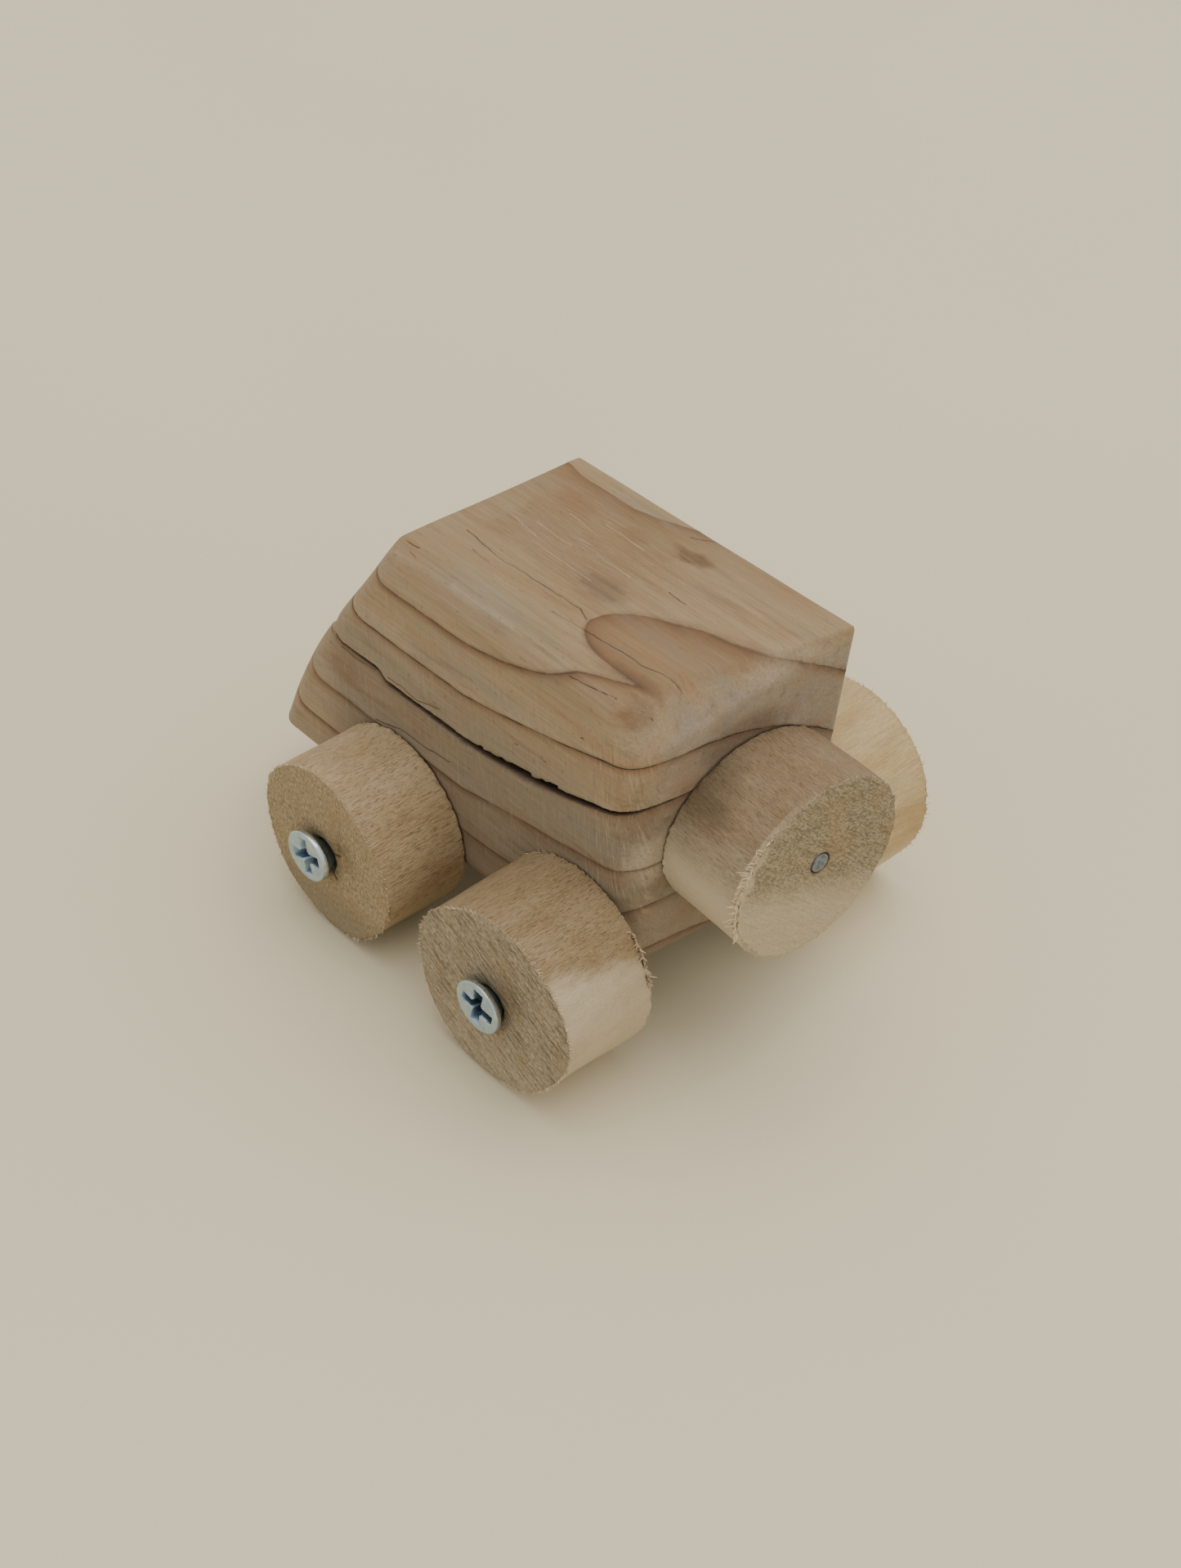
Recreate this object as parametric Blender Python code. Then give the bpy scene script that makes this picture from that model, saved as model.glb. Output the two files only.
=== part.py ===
"""Handmade wooden toy car, modelled as an assembly.

One sawn softwood block is the body.  Four dowel slices are the wheels, each on its own
flat-head wood screw.  A fifth slice is nailed to the rear face as a spare wheel.

Frame: metres, +Z up, the car's nose points to -Y and its left side faces +X.  Everything
is built around the block's middle plane and the point midway between the axle lines, and
the finished car is then moved so that the origin is on the ground under the middle of
its whole box.
"""
import math

import bmesh
import bpy
from mathutils import Matrix, Vector

# ---------------------------------------------------------------- driving dimensions
HALF_WIDTH = 0.0190         # the block is a piece of 38 mm stock
UNDERSIDE_Z = 0.0121
TOP_Z = 0.0670
FRONT_TOP_Y = -0.0227       # where the front slope meets the top, at mid width
FRONT_SKEW = -0.040         # the front cuts are not quite square to the sides
KNEE_Y, KNEE_Z = -0.0490, 0.0258
TOE_Y, TOE_Z = -0.0541, 0.0135
CHIN_Y = -0.0531
REAR_TOP_Y = 0.0341         # rear face at mid width, at the height of the top
REAR_SKEW = -0.110          # the rear cut runs off to the right
REAR_LEAN = 0.064           # and leans forward towards the bottom
SLANT_DROP = 0.0084         # rear top slant: its depth down the rear face at the left side
SLANT_RUN = 0.0050          # and its length along the top at the left side

EDGE_ROUND = 0.0055         # widest sanded edge; every other edge is a share of it

WHEEL_GAP = 0.0003          # clearance between the wheels and the block
WHEEL_BORE_R = 0.0025
WHEEL_CHAMFER = 0.0003
# name: side (+1 left, -1 right), axle y, wheel radius, wheel width, screw head stand-off
WHEELS = {
    "front_left": (1, -0.0208, 0.0156, 0.0161, 0.0029),
    "rear_left": (1, 0.0211, 0.0161, 0.0180, 0.0022),
    "front_right": (-1, -0.0208, 0.0158, 0.0170, 0.0024),
    "rear_right": (-1, 0.0208, 0.0168, 0.0240, 0.0022),
}
WHEEL_STEPS = 64
FLAT = math.cos(math.pi / WHEEL_STEPS)      # a wheel stands on a flat, not on a corner

SCREW_LENGTH = 0.03175      # No. 8 x 1 1/4 in flat-head wood screw
SCREW_HEAD_R = 0.0044
SCREW_RIM = 0.0006          # straight rim around the head before the cone starts
SCREW_SHANK_R = 0.0020
SCREW_ROOT_R = 0.0015
SCREW_CREST_R = 0.0021
SCREW_PITCH = 0.0025
SCREW_SMOOTH = 0.0105       # plain shank under the head
SCREW_POINT = 0.0045
SCREW_STEPS = 12
RINGS_PER_TURN = 6
RECESS_DEPTH = 0.0019
PILOT_R = 0.0024

SPARE_R = 0.01575
SPARE_WIDTH = 0.0153        # along its own axis, in the middle
SPARE_X = -0.0029
SPARE_Z = 0.0386
SPARE_AXIS = Vector((0.067, 1.0, -0.006)).normalized()  # its inner face is cut to suit the rear face
NAIL_OFF_X, NAIL_OFF_UP = -0.0004, 0.0009   # the nail missed the middle a little
NAIL_HEAD_R = 0.0017
NAIL_HEAD_T = 0.0012
NAIL_SHANK_R = 0.0012
NAIL_LENGTH = 0.0380
NAIL_POINT = 0.0030
NAIL_STEPS = 20
NAIL_GAP = 0.0003


# ---------------------------------------------------------------- helpers
def clear_scene():
    for old in list(bpy.data.objects):
        bpy.data.objects.remove(old, do_unlink=True)


def material(name, rgb, roughness, metallic=0.0):
    made = bpy.data.materials.new(name)
    made.use_nodes = True
    made.diffuse_color = (*rgb, 1.0)
    shader = made.node_tree.nodes["Principled BSDF"]
    shader.inputs["Base Color"].default_value = (*rgb, 1.0)
    shader.inputs["Roughness"].default_value = roughness
    shader.inputs["Metallic"].default_value = metallic
    return made


def mesh_object(name, bm, mat=None, origin=None):
    """Turn bm into an object.  With an origin, the mesh is kept in place around it."""
    bmesh.ops.remove_doubles(bm, verts=bm.verts, dist=1e-7)
    bmesh.ops.recalc_face_normals(bm, faces=bm.faces)
    mesh = bpy.data.meshes.new(name)
    if origin is not None:
        bmesh.ops.translate(bm, verts=bm.verts, vec=-Vector(origin))
    bm.to_mesh(mesh)
    bm.free()
    obj = bpy.data.objects.new(name, mesh)
    if origin is not None:
        obj.location = origin
    bpy.context.scene.collection.objects.link(obj)
    if mat:
        mesh.materials.append(mat)
    return obj


def smooth(obj, degrees=35.0):
    for face in obj.data.polygons:
        face.use_smooth = True
    obj.data.set_sharp_from_angle(angle=math.radians(degrees))


def axle_z(radius):
    return radius * FLAT


def revolve(rows, steps, closed):
    """Rows of (radius, axial position) spun about the X axis, with a flat at the bottom.

    closed joins the last row to the first, for a body with a bore.  An open profile
    starts and ends on the axis and its ends close to a point or a flat cap.
    """
    bm = bmesh.new()
    rings = []
    for radius, along in rows:
        if radius < 1e-9:
            rings.append([bm.verts.new((along, 0.0, 0.0))])
            continue
        ring = []
        for i in range(steps):
            turn = 2.0 * math.pi * (i + 0.5) / steps
            ring.append(bm.verts.new((along, radius * math.cos(turn), radius * math.sin(turn))))
        rings.append(ring)
    bridge_rings(bm, rings, closed)
    return bm


def bridge_rings(bm, rings, closed):
    pairs = list(zip(rings, rings[1:]))
    if closed:
        pairs.append((rings[-1], rings[0]))
    for low, high in pairs:
        count = max(len(low), len(high))
        for i in range(count):
            j = (i + 1) % count
            if len(low) == 1:
                bm.faces.new((low[0], high[j], high[i]))
            elif len(high) == 1:
                bm.faces.new((low[i], low[j], high[0]))
            else:
                bm.faces.new((low[i], low[j], high[j], high[i]))


def cutter_object(name, bm):
    obj = mesh_object(name, bm)
    obj.hide_render = True
    obj.display_type = "WIRE"
    return obj


def cut(target, cutters):
    """Subtract the cutters from the target one after another, then remove them."""
    for tool in cutters:
        step = target.modifiers.new("cut", "BOOLEAN")
        step.operation = "DIFFERENCE"
        step.solver = "EXACT"
        step.object = tool
        apply_modifiers(target)
        bpy.data.objects.remove(tool, do_unlink=True)


def apply_modifiers(obj):
    view = bpy.context.evaluated_depsgraph_get()
    view.update()
    mesh = bpy.data.meshes.new_from_object(obj.evaluated_get(view))
    old = obj.data
    obj.modifiers.clear()
    obj.data = mesh
    bpy.data.meshes.remove(old)


def rear_y(x, z):
    return REAR_TOP_Y + REAR_SKEW * x - REAR_LEAN * (TOP_Z - z)


REAR_NORMAL = Vector((-REAR_SKEW, 1.0, -REAR_LEAN)).normalized()


SPARE_ACROSS = SPARE_AXIS.cross(Vector((0.0, 0.0, 1.0))).normalized()
SPARE_UP = SPARE_ACROSS.cross(SPARE_AXIS).normalized()
SPARE_FOOT = Vector((SPARE_X, rear_y(SPARE_X, SPARE_Z), SPARE_Z))


def spare_frame(across=0.0, up=0.0):
    """Matrix taking a body built along +X from the origin to the spare wheel's axis, X pointing out."""
    turn = Matrix((SPARE_AXIS, -SPARE_ACROSS, SPARE_UP)).transposed().to_4x4()
    return Matrix.Translation(SPARE_FOOT + SPARE_ACROSS * across + SPARE_UP * up) @ turn


def to_rear_face(across, up):
    """How far along the spare wheel's axis the rear face lies, at a place beside the axis."""
    side = SPARE_ACROSS * across + SPARE_UP * up
    return -side.dot(REAR_NORMAL) / SPARE_AXIS.dot(REAR_NORMAL)


# ---------------------------------------------------------------- the block
def block_blank():
    """The sawn blank: a six-sided side profile, skewed front and rear, rear top slant."""
    bm = bmesh.new()
    rows = []
    for x in (-HALF_WIDTH, HALF_WIDTH):
        skew = FRONT_SKEW * x
        rows.append([bm.verts.new((x, y, z)) for y, z in (
            (FRONT_TOP_Y + skew, TOP_Z),
            (KNEE_Y + skew, KNEE_Z),
            (TOE_Y + skew, TOE_Z),
            (CHIN_Y + skew, UNDERSIDE_Z),
            (rear_y(x, UNDERSIDE_Z), UNDERSIDE_Z),
            (rear_y(x, TOP_Z), TOP_Z))])
    right, left = rows
    bm.faces.new(right)
    bm.faces.new(list(reversed(left)))
    for i in range(6):
        j = (i + 1) % 6
        bm.faces.new((right[i], left[i], left[j], right[j]))
    bmesh.ops.recalc_face_normals(bm, faces=bm.faces)
    # the slant runs from the rear right corner and widens to the left
    corner = Vector((-HALF_WIDTH, rear_y(-HALF_WIDTH, TOP_Z), TOP_Z))
    low = Vector((HALF_WIDTH, rear_y(HALF_WIDTH, TOP_Z - SLANT_DROP), TOP_Z - SLANT_DROP))
    high = Vector((HALF_WIDTH, rear_y(HALF_WIDTH, TOP_Z) - SLANT_RUN, TOP_Z))
    normal = (low - corner).cross(high - corner).normalized()
    if normal.z < 0.0:
        normal.negate()
    corner -= normal * 0.0002
    cut_away = bmesh.ops.bisect_plane(
        bm, geom=bm.verts[:] + bm.edges[:] + bm.faces[:], dist=1e-7,
        plane_co=corner, plane_no=normal, clear_outer=True)
    rim = [item for item in cut_away["geom_cut"] if isinstance(item, bmesh.types.BMEdge)]
    bmesh.ops.contextual_create(bm, geom=rim)
    bmesh.ops.recalc_face_normals(bm, faces=bm.faces)
    return bm


def share_of_round(edge):
    """How much of EDGE_ROUND an edge gets, from where it runs."""
    a, b = (vert.co for vert in edge.verts)
    mid = (a + b) / 2.0
    near = 1e-5
    left = a.x > HALF_WIDTH - near and b.x > HALF_WIDTH - near
    right = a.x < -HALF_WIDTH + near and b.x < -HALF_WIDTH + near
    top = a.z > TOP_Z - near and b.z > TOP_Z - near
    bottom = a.z < UNDERSIDE_Z + near and b.z < UNDERSIDE_Z + near
    if left:
        if bottom:
            return 0.12
        if top:
            return 0.80
        if mid.y > 0.0:
            return 0.95
        return 0.62 if mid.z > KNEE_Z else 0.35
    if right:
        return 0.10
    if bottom:
        return 1.0 if mid.y > 0.0 else 0.20
    if mid.y > 0.0:
        return 0.03
    if top:
        return 0.10
    return 0.95 if abs(mid.z - KNEE_Z) < 0.002 else 0.20


def wrap(obj):
    """Replace a convex body's mesh with its hull, so overlapping bevel corners are gone."""
    bm = bmesh.new()
    bm.from_mesh(obj.data)
    hull = bmesh.ops.convex_hull(bm, input=bm.verts[:], use_existing_faces=False)
    bmesh.ops.delete(bm, geom=hull["geom_interior"] + hull["geom_unused"], context="VERTS")
    kept = {item for item in hull["geom"] if isinstance(item, bmesh.types.BMFace)}
    spare = [face for face in bm.faces if face not in kept]
    bmesh.ops.delete(bm, geom=spare, context="FACES")
    bmesh.ops.dissolve_limit(bm, angle_limit=math.radians(0.05), use_dissolve_boundaries=False,
                             verts=bm.verts[:], edges=bm.edges[:])
    bmesh.ops.recalc_face_normals(bm, faces=bm.faces[:])
    bm.to_mesh(obj.data)
    bm.free()


def make_block(mat):
    obj = mesh_object("body_block", block_blank(), mat)
    weights = obj.data.attributes.new("bevel_weight_edge", "FLOAT", "EDGE")
    bm = bmesh.new()
    bm.from_mesh(obj.data)
    layer = bm.edges.layers.float["bevel_weight_edge"]
    for edge in bm.edges:
        edge[layer] = share_of_round(edge)
    bm.to_mesh(obj.data)
    bm.free()
    rounding = obj.modifiers.new("sanded edges", "BEVEL")
    rounding.limit_method = "WEIGHT"
    rounding.offset_type = "OFFSET"
    rounding.width = EDGE_ROUND
    rounding.segments = 4
    rounding.use_clamp_overlap = False
    apply_modifiers(obj)
    wrap(obj)

    cutters = []
    for name, (side, axle_y, radius, width, proud) in WHEELS.items():
        tip = HALF_WIDTH + WHEEL_GAP + width + proud - SCREW_LENGTH - 0.0006
        rows = [(0.0, tip), (PILOT_R, tip), (PILOT_R, HALF_WIDTH + 0.002), (0.0, HALF_WIDTH + 0.002)]
        bm = revolve(rows, 24, closed=False)
        if side < 0:
            bmesh.ops.rotate(bm, verts=bm.verts, matrix=Matrix.Rotation(math.pi, 3, "Z"))
        bmesh.ops.translate(bm, verts=bm.verts, vec=(0.0, axle_y, axle_z(radius)))
        cutters.append(cutter_object("pilot_" + name, bm))
    tip = SPARE_WIDTH + NAIL_GAP - NAIL_LENGTH - 0.0006
    hole = NAIL_SHANK_R + NAIL_GAP
    bm = revolve([(0.0, tip), (hole, tip), (hole, 0.003), (0.0, 0.003)], NAIL_STEPS, closed=False)
    bm.transform(spare_frame(NAIL_OFF_X, NAIL_OFF_UP))
    cutters.append(cutter_object("nail_hole", bm))
    cut(obj, cutters)
    smooth(obj)
    return obj


# ---------------------------------------------------------------- wheels and screws
def wheel_profile(radius, width, bore, flare_r, flare_depth):
    """Closed profile of a bored slice, inner face at zero, countersunk at the outer face."""
    c = WHEEL_CHAMFER
    return [(bore, 0.0), (radius - c, 0.0), (radius, c), (radius, width - c),
            (radius - c, width), (flare_r, width), (bore, width - flare_depth)]


def make_wheel(name, mat):
    side, axle_y, radius, width, proud = WHEELS[name]
    # the countersink only clears the part of the cone that reaches into the wheel
    cone = SCREW_HEAD_R - SCREW_SHANK_R
    sunk = max(0.0, SCREW_RIM + cone / math.tan(math.radians(41.0)) - proud)
    flare = WHEEL_BORE_R + 0.0004 + sunk * math.tan(math.radians(41.0))
    rows = wheel_profile(radius, width, WHEEL_BORE_R, flare, sunk + 0.0006)
    bm = revolve(rows, WHEEL_STEPS, closed=True)
    if side < 0:
        bmesh.ops.rotate(bm, verts=bm.verts, matrix=Matrix.Rotation(math.pi, 3, "Z"))
    place = Vector((side * (HALF_WIDTH + WHEEL_GAP), axle_y, axle_z(radius)))
    bmesh.ops.translate(bm, verts=bm.verts, vec=place)
    centre = place + Vector((side * width / 2.0, 0.0, 0.0))
    obj = mesh_object("wheel_" + name, bm, mat, origin=centre)
    smooth(obj)
    return obj


def screw_body():
    """Head at zero, shank running to -X, as one skin with a helical ridge on the threads."""
    bm = bmesh.new()
    cone_end = SCREW_RIM + (SCREW_HEAD_R - SCREW_SHANK_R) / math.tan(math.radians(41.0))
    plain = [(0.0, 0.0), (SCREW_HEAD_R - 0.0002, 0.0), (SCREW_HEAD_R, 0.00015),
             (SCREW_HEAD_R, SCREW_RIM), (SCREW_SHANK_R, cone_end), (SCREW_SHANK_R, SCREW_SMOOTH)]
    rings = []
    turns = [2.0 * math.pi * i / SCREW_STEPS for i in range(SCREW_STEPS)]
    for radius, depth in plain:
        if radius < 1e-9:
            rings.append([bm.verts.new((0.0, 0.0, 0.0))])
        else:
            rings.append([bm.verts.new((-depth, radius * math.cos(t), radius * math.sin(t)))
                          for t in turns])
    step = SCREW_PITCH / RINGS_PER_TURN
    count = int((SCREW_LENGTH - 0.0006 - SCREW_SMOOTH) / step)
    for n in range(1, count + 1):
        depth = SCREW_SMOOTH + n * step
        taper = min(1.0, (SCREW_LENGTH - depth) / SCREW_POINT)
        fade = min(1.0, n / 4.0)
        ring = []
        for t in turns:
            phase = (t / (2.0 * math.pi) + depth / SCREW_PITCH) % 1.0
            ridge = max(0.0, 1.0 - abs(phase - 0.5) / 0.24)
            root = SCREW_SHANK_R + (SCREW_ROOT_R - SCREW_SHANK_R) * fade
            radius = (root + (SCREW_CREST_R - root) * ridge * fade) * (0.12 + 0.88 * taper)
            ring.append(bm.verts.new((-depth, radius * math.cos(t), radius * math.sin(t))))
        rings.append(ring)
    rings.append([bm.verts.new((-SCREW_LENGTH, 0.0, 0.0))])
    bridge_rings(bm, rings, closed=False)
    return bm


def recess_cutter(name):
    """A cross that narrows towards its floor, starting a little above the head."""
    bm = bmesh.new()
    loops = []
    for depth, arm, half in ((-0.0004, 0.00300, 0.00058), (RECESS_DEPTH, 0.00145, 0.00036)):
        flat = [(arm, half), (half, half), (half, arm), (-half, arm), (-half, half), (-arm, half),
                (-arm, -half), (-half, -half), (-half, -arm), (half, -arm), (half, -half),
                (arm, -half)]
        loops.append([bm.verts.new((-depth, y, z)) for y, z in flat])
    top, floor = loops
    for i in range(12):
        j = (i + 1) % 12
        bm.faces.new((top[i], top[j], floor[j], floor[i]))
    bm.faces.new(top)
    bm.faces.new(list(reversed(floor)))
    return cutter_object(name, bm)


# how far each screw's cross happened to stop, in degrees
DRIVE_TURN = {"front_left": 13.0, "rear_left": -7.0, "front_right": 12.0, "rear_right": 55.0}


def make_screw(name, mat):
    side, axle_y, radius, width, proud = WHEELS[name]
    obj = mesh_object("screw_" + name, screw_body(), mat)
    cut(obj, [recess_cutter("recess_" + name)])
    turn = Matrix.Rotation(math.radians(DRIVE_TURN[name]), 4, "X")
    flip = Matrix.Rotation(math.pi, 4, "Z") if side < 0 else Matrix.Identity(4)
    head_x = side * (HALF_WIDTH + WHEEL_GAP + width + proud)
    obj.data.transform(Matrix.Translation((head_x, axle_y, axle_z(radius))) @ flip @ turn)
    smooth(obj, 30.0)
    return obj


# ---------------------------------------------------------------- spare wheel and nail
def make_spare(mat):
    c = WHEEL_CHAMFER
    gap = NAIL_GAP
    rows = [(0.0, gap), (SPARE_R - c, gap), (SPARE_R, gap + c), (SPARE_R, gap + SPARE_WIDTH - c),
            (SPARE_R - c, gap + SPARE_WIDTH), (0.0, gap + SPARE_WIDTH)]
    bm = revolve(rows, WHEEL_STEPS, closed=False)
    for vert in bm.verts:
        if vert.co.x < gap + 2.0 * c:
            vert.co.x += to_rear_face(-vert.co.y, vert.co.z)
    bm.transform(spare_frame())
    obj = mesh_object("spare_wheel", bm, mat)
    face = gap + SPARE_WIDTH
    shank, head = NAIL_SHANK_R + NAIL_GAP, NAIL_HEAD_R + NAIL_GAP
    rows = [(0.0, -0.004), (shank, -0.004), (shank, face - NAIL_HEAD_T - NAIL_GAP),
            (head, face - NAIL_HEAD_T - NAIL_GAP), (head, face + 0.001), (0.0, face + 0.001)]
    hole = revolve(rows, NAIL_STEPS, closed=False)
    hole.transform(spare_frame(NAIL_OFF_X, NAIL_OFF_UP))
    cut(obj, [cutter_object("spare_hole", hole)])
    smooth(obj)
    return obj


def make_nail(mat):
    face = NAIL_GAP + SPARE_WIDTH
    rows = [(0.0, face), (NAIL_HEAD_R - 0.0003, face), (NAIL_HEAD_R, face - 0.0002),
            (NAIL_HEAD_R, face - NAIL_HEAD_T + 0.0003), (NAIL_SHANK_R, face - NAIL_HEAD_T),
            (NAIL_SHANK_R, face - NAIL_LENGTH + NAIL_POINT), (0.0, face - NAIL_LENGTH)]
    bm = revolve(rows, NAIL_STEPS, closed=False)
    bm.transform(spare_frame(NAIL_OFF_X, NAIL_OFF_UP))
    obj = mesh_object("spare_nail", bm, mat)
    smooth(obj)
    return obj


def centre_on_box():
    """Move everything sideways so that the whole car's box stands centred on the origin."""
    bpy.context.view_layer.update()
    points = [obj.matrix_world @ vert.co for obj in bpy.data.objects if obj.type == "MESH"
              for vert in obj.data.vertices]
    lows = [min(point[i] for point in points) for i in (0, 1)]
    highs = [max(point[i] for point in points) for i in (0, 1)]
    for obj in bpy.data.objects:
        if obj.parent is None:
            obj.location.x -= (lows[0] + highs[0]) / 2.0
            obj.location.y -= (lows[1] + highs[1]) / 2.0


# ---------------------------------------------------------------- assembly
clear_scene()

make_block(material("block_wood", (0.47, 0.33, 0.21), 0.72))
WOODS = {
    "front_left": (0.50, 0.38, 0.24),
    "rear_left": (0.52, 0.40, 0.26),
    "front_right": (0.51, 0.38, 0.25),
    "rear_right": (0.60, 0.46, 0.29),
}
for corner_name in WHEELS:
    make_wheel(corner_name, material("wheel_wood_" + corner_name, WOODS[corner_name], 0.75))
    make_screw(corner_name, material("screw_zinc_" + corner_name, (0.58, 0.62, 0.66), 0.28, 1.0))
make_spare(material("spare_wood", (0.49, 0.38, 0.25), 0.78))
make_nail(material("nail_steel", (0.42, 0.42, 0.43), 0.45, 1.0))
centre_on_box()
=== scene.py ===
"""Looks of the handmade wooden toy car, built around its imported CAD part.

The car's lengths are millimetres (nose to -Y, left side to +X, up +Z), in its materials too, and
become metres when a mesh is made. SHIFT_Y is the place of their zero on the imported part's Y axis.
"""
import math

import bmesh
import bpy
import numpy as np
from mathutils import Matrix, Vector


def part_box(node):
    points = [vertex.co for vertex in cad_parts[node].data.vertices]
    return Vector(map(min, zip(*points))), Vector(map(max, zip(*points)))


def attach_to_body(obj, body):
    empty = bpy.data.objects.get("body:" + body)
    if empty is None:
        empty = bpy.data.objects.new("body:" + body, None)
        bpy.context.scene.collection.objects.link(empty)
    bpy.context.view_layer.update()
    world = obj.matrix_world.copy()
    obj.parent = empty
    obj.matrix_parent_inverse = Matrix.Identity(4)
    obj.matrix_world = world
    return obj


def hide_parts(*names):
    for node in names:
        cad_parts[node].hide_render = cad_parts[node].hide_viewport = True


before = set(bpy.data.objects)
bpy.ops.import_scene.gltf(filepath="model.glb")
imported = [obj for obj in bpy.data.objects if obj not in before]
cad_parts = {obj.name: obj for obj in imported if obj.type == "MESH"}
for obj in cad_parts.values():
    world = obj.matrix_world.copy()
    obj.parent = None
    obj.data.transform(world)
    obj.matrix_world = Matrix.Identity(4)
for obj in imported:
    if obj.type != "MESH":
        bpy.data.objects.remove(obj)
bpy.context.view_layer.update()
MM = 0.001
SHIFT_Y = 0.63


def node_box(node):
    """The lowest and the highest corner of a CAD node."""
    low, high = (np.array(corner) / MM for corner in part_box(node))
    return low - (0.0, SHIFT_Y, 0.0), high - (0.0, SHIFT_Y, 0.0)


# ------ numbers and noise
def lattice(cells, seed):
    """A repeatable value in -1..1 for every whole-number cell."""
    x, y, z = (cells[..., i].astype(np.int64) for i in range(3))
    h = (x * 374761393 + y * 668265263 + z * 1440662683 + seed * 83492791) & 0xFFFFFFFF
    h = ((h ^ (h >> 15)) * 2246822519) & 0xFFFFFFFF
    h = ((h ^ (h >> 13)) * 3266489917) & 0xFFFFFFFF
    return ((h ^ (h >> 16)) & 0xFFFFFF) / float(0xFFFFFF) * 2.0 - 1.0


def noise(p, size, seed=0):
    """Smooth noise in -1..1 at points p, with features of the given size on each axis."""
    q = np.asarray(p, float) / np.asarray(size, float)
    cell = np.floor(q)
    t = q - cell
    t = t * t * (3.0 - 2.0 * t)
    total = np.zeros(q.shape[:-1])
    for corner in range(8):
        step = np.array([corner & 1, corner >> 1 & 1, corner >> 2 & 1], float)
        weight = np.prod(np.where(step > 0.5, t, 1.0 - t), axis=-1)
        total += weight * lattice(cell + step, seed)
    return total


def smooth01(t):
    t = np.clip(t, 0.0, 1.0)
    return t * t * (3.0 - 2.0 * t)


def unit(v):
    return np.asarray(v, float) / np.linalg.norm(v)


def soft_max(a, b, width):
    """The larger of two heights, blended where they meet."""
    t = np.clip(0.5 + 0.5 * (a - b) / width, 0.0, 1.0)
    return b + (a - b) * t + width * t * (1.0 - t)


# ------ meshes
def add(name, data):
    obj = bpy.data.objects.new(name, data)
    bpy.context.scene.collection.objects.link(obj)
    return obj


def new_object(name, points, faces, material, smooth=True, sharp=None):
    mesh = bpy.data.meshes.new(name)
    corners = (np.asarray(points) * MM).tolist()
    mesh.from_pydata(corners, [], [tuple(int(i) for i in face) for face in faces])
    mesh.validate()
    for face in mesh.polygons:
        face.use_smooth = smooth
    if sharp:
        mesh.set_sharp_from_angle(angle=math.radians(sharp))
    mesh.materials.append(material)
    obj = add(name, mesh)
    obj.location.y = SHIFT_Y * MM
    return obj


def store(obj, name, values):
    values = np.asarray(values, np.float32)
    kind = "FLOAT_VECTOR" if values.ndim == 2 else "FLOAT"
    layer = obj.data.attributes.new(name, kind, "POINT")
    layer.data.foreach_set("vector" if values.ndim == 2 else "value", values.ravel())


def attach(obj, body, slot, *nodes):
    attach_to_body(obj, body)
    if nodes:
        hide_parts(*nodes)
    return obj


def around(rows, steps):
    """The columns of a turned profile and the angle, each as a grid of rows and steps."""
    turn = 2.0 * np.pi * np.arange(steps) / steps
    columns = [np.repeat(column[:, None], steps, 1) for column in np.array(rows).T]
    return *columns, np.repeat(turn[None, :], len(rows), 0)


def ring_quads(count, steps):
    """Quads from each ring of a turned mesh to the next, and from the last to the first."""
    ids = np.arange(count * steps).reshape(count, steps)
    after = np.roll(ids, -1, 0)
    return np.stack([ids, np.roll(ids, -1, 1), np.roll(after, -1, 1), after], -1).reshape(-1, 4)


def capped_faces(count, steps, flip):
    """Faces of an open turned profile with a flat cap at either end."""
    quads = ring_quads(count, steps)[:-steps, [0, 3, 2, 1]]
    ids = list(range(count * steps))
    faces = [*map(list, quads), ids[:steps], ids[-steps:][::-1]]
    return [face[::-1] for face in faces] if flip else faces


# ------ the block's shape
(X_RIGHT, _, Z_LOW), (X_LEFT, _, Z_TOP) = node_box("body_block")
MID_X = (X_RIGHT + X_LEFT) / 2
CORE = (MID_X, -8.0, 38.0)              # a point well inside
# the front's side profile in (y, z), upwards: chin, toe and slope lie between its points
FRONT = ((-51.094, 12.1), (-52.094, 13.5), (-46.994, 25.8), (-20.694, 67.0))
REAR_Y = 36.106
FRONT_SKEW, REAR_SKEW, REAR_LEAN = -0.040, -0.110, -0.064


def front_y(x, z):
    ys, zs = zip(*FRONT)
    return np.interp(z, zs, ys) + FRONT_SKEW * (x - MID_X)


def rear_y(x, z):
    return REAR_Y + REAR_SKEW * (x - MID_X) + REAR_LEAN * (Z_TOP - z)


def plane(a, b, c):
    """Outward unit normal and offset of the plane through three points."""
    a, b, c = (np.array(q, float) for q in (a, b, c))
    n = unit(np.cross(b - a, c - a))
    if n @ CORE > n @ a:
        n = -n
    return n, n @ a


def front_plane(low, high):
    (y0, z0), (y1, z1) = FRONT[low], FRONT[high]
    return plane((MID_X, y0, z0), (MID_X, y1, z1), (X_LEFT, y0 + FRONT_SKEW * (X_LEFT - MID_X), z0))


CHIN, TOE, SLOPE = front_plane(0, 1), front_plane(1, 2), front_plane(2, 3)
REAR = plane(*[(x, rear_y(x, z), z) for x, z in ((MID_X, Z_TOP), (MID_X, Z_LOW), (X_LEFT, Z_TOP))])
SLANT = plane((X_RIGHT, rear_y(X_RIGHT, Z_TOP) - 0.2, Z_TOP),
              (X_LEFT, rear_y(X_LEFT, Z_TOP - 8.4), Z_TOP - 8.4),
              (X_LEFT, rear_y(X_LEFT, Z_TOP) - 5.0, Z_TOP))


def back_y(x, z):
    """The rear face, or the slant above it where that is further forward."""
    (across, along, up), offset = SLANT
    return np.minimum(rear_y(x, z), (offset - across * x - up * z) / along)


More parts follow.
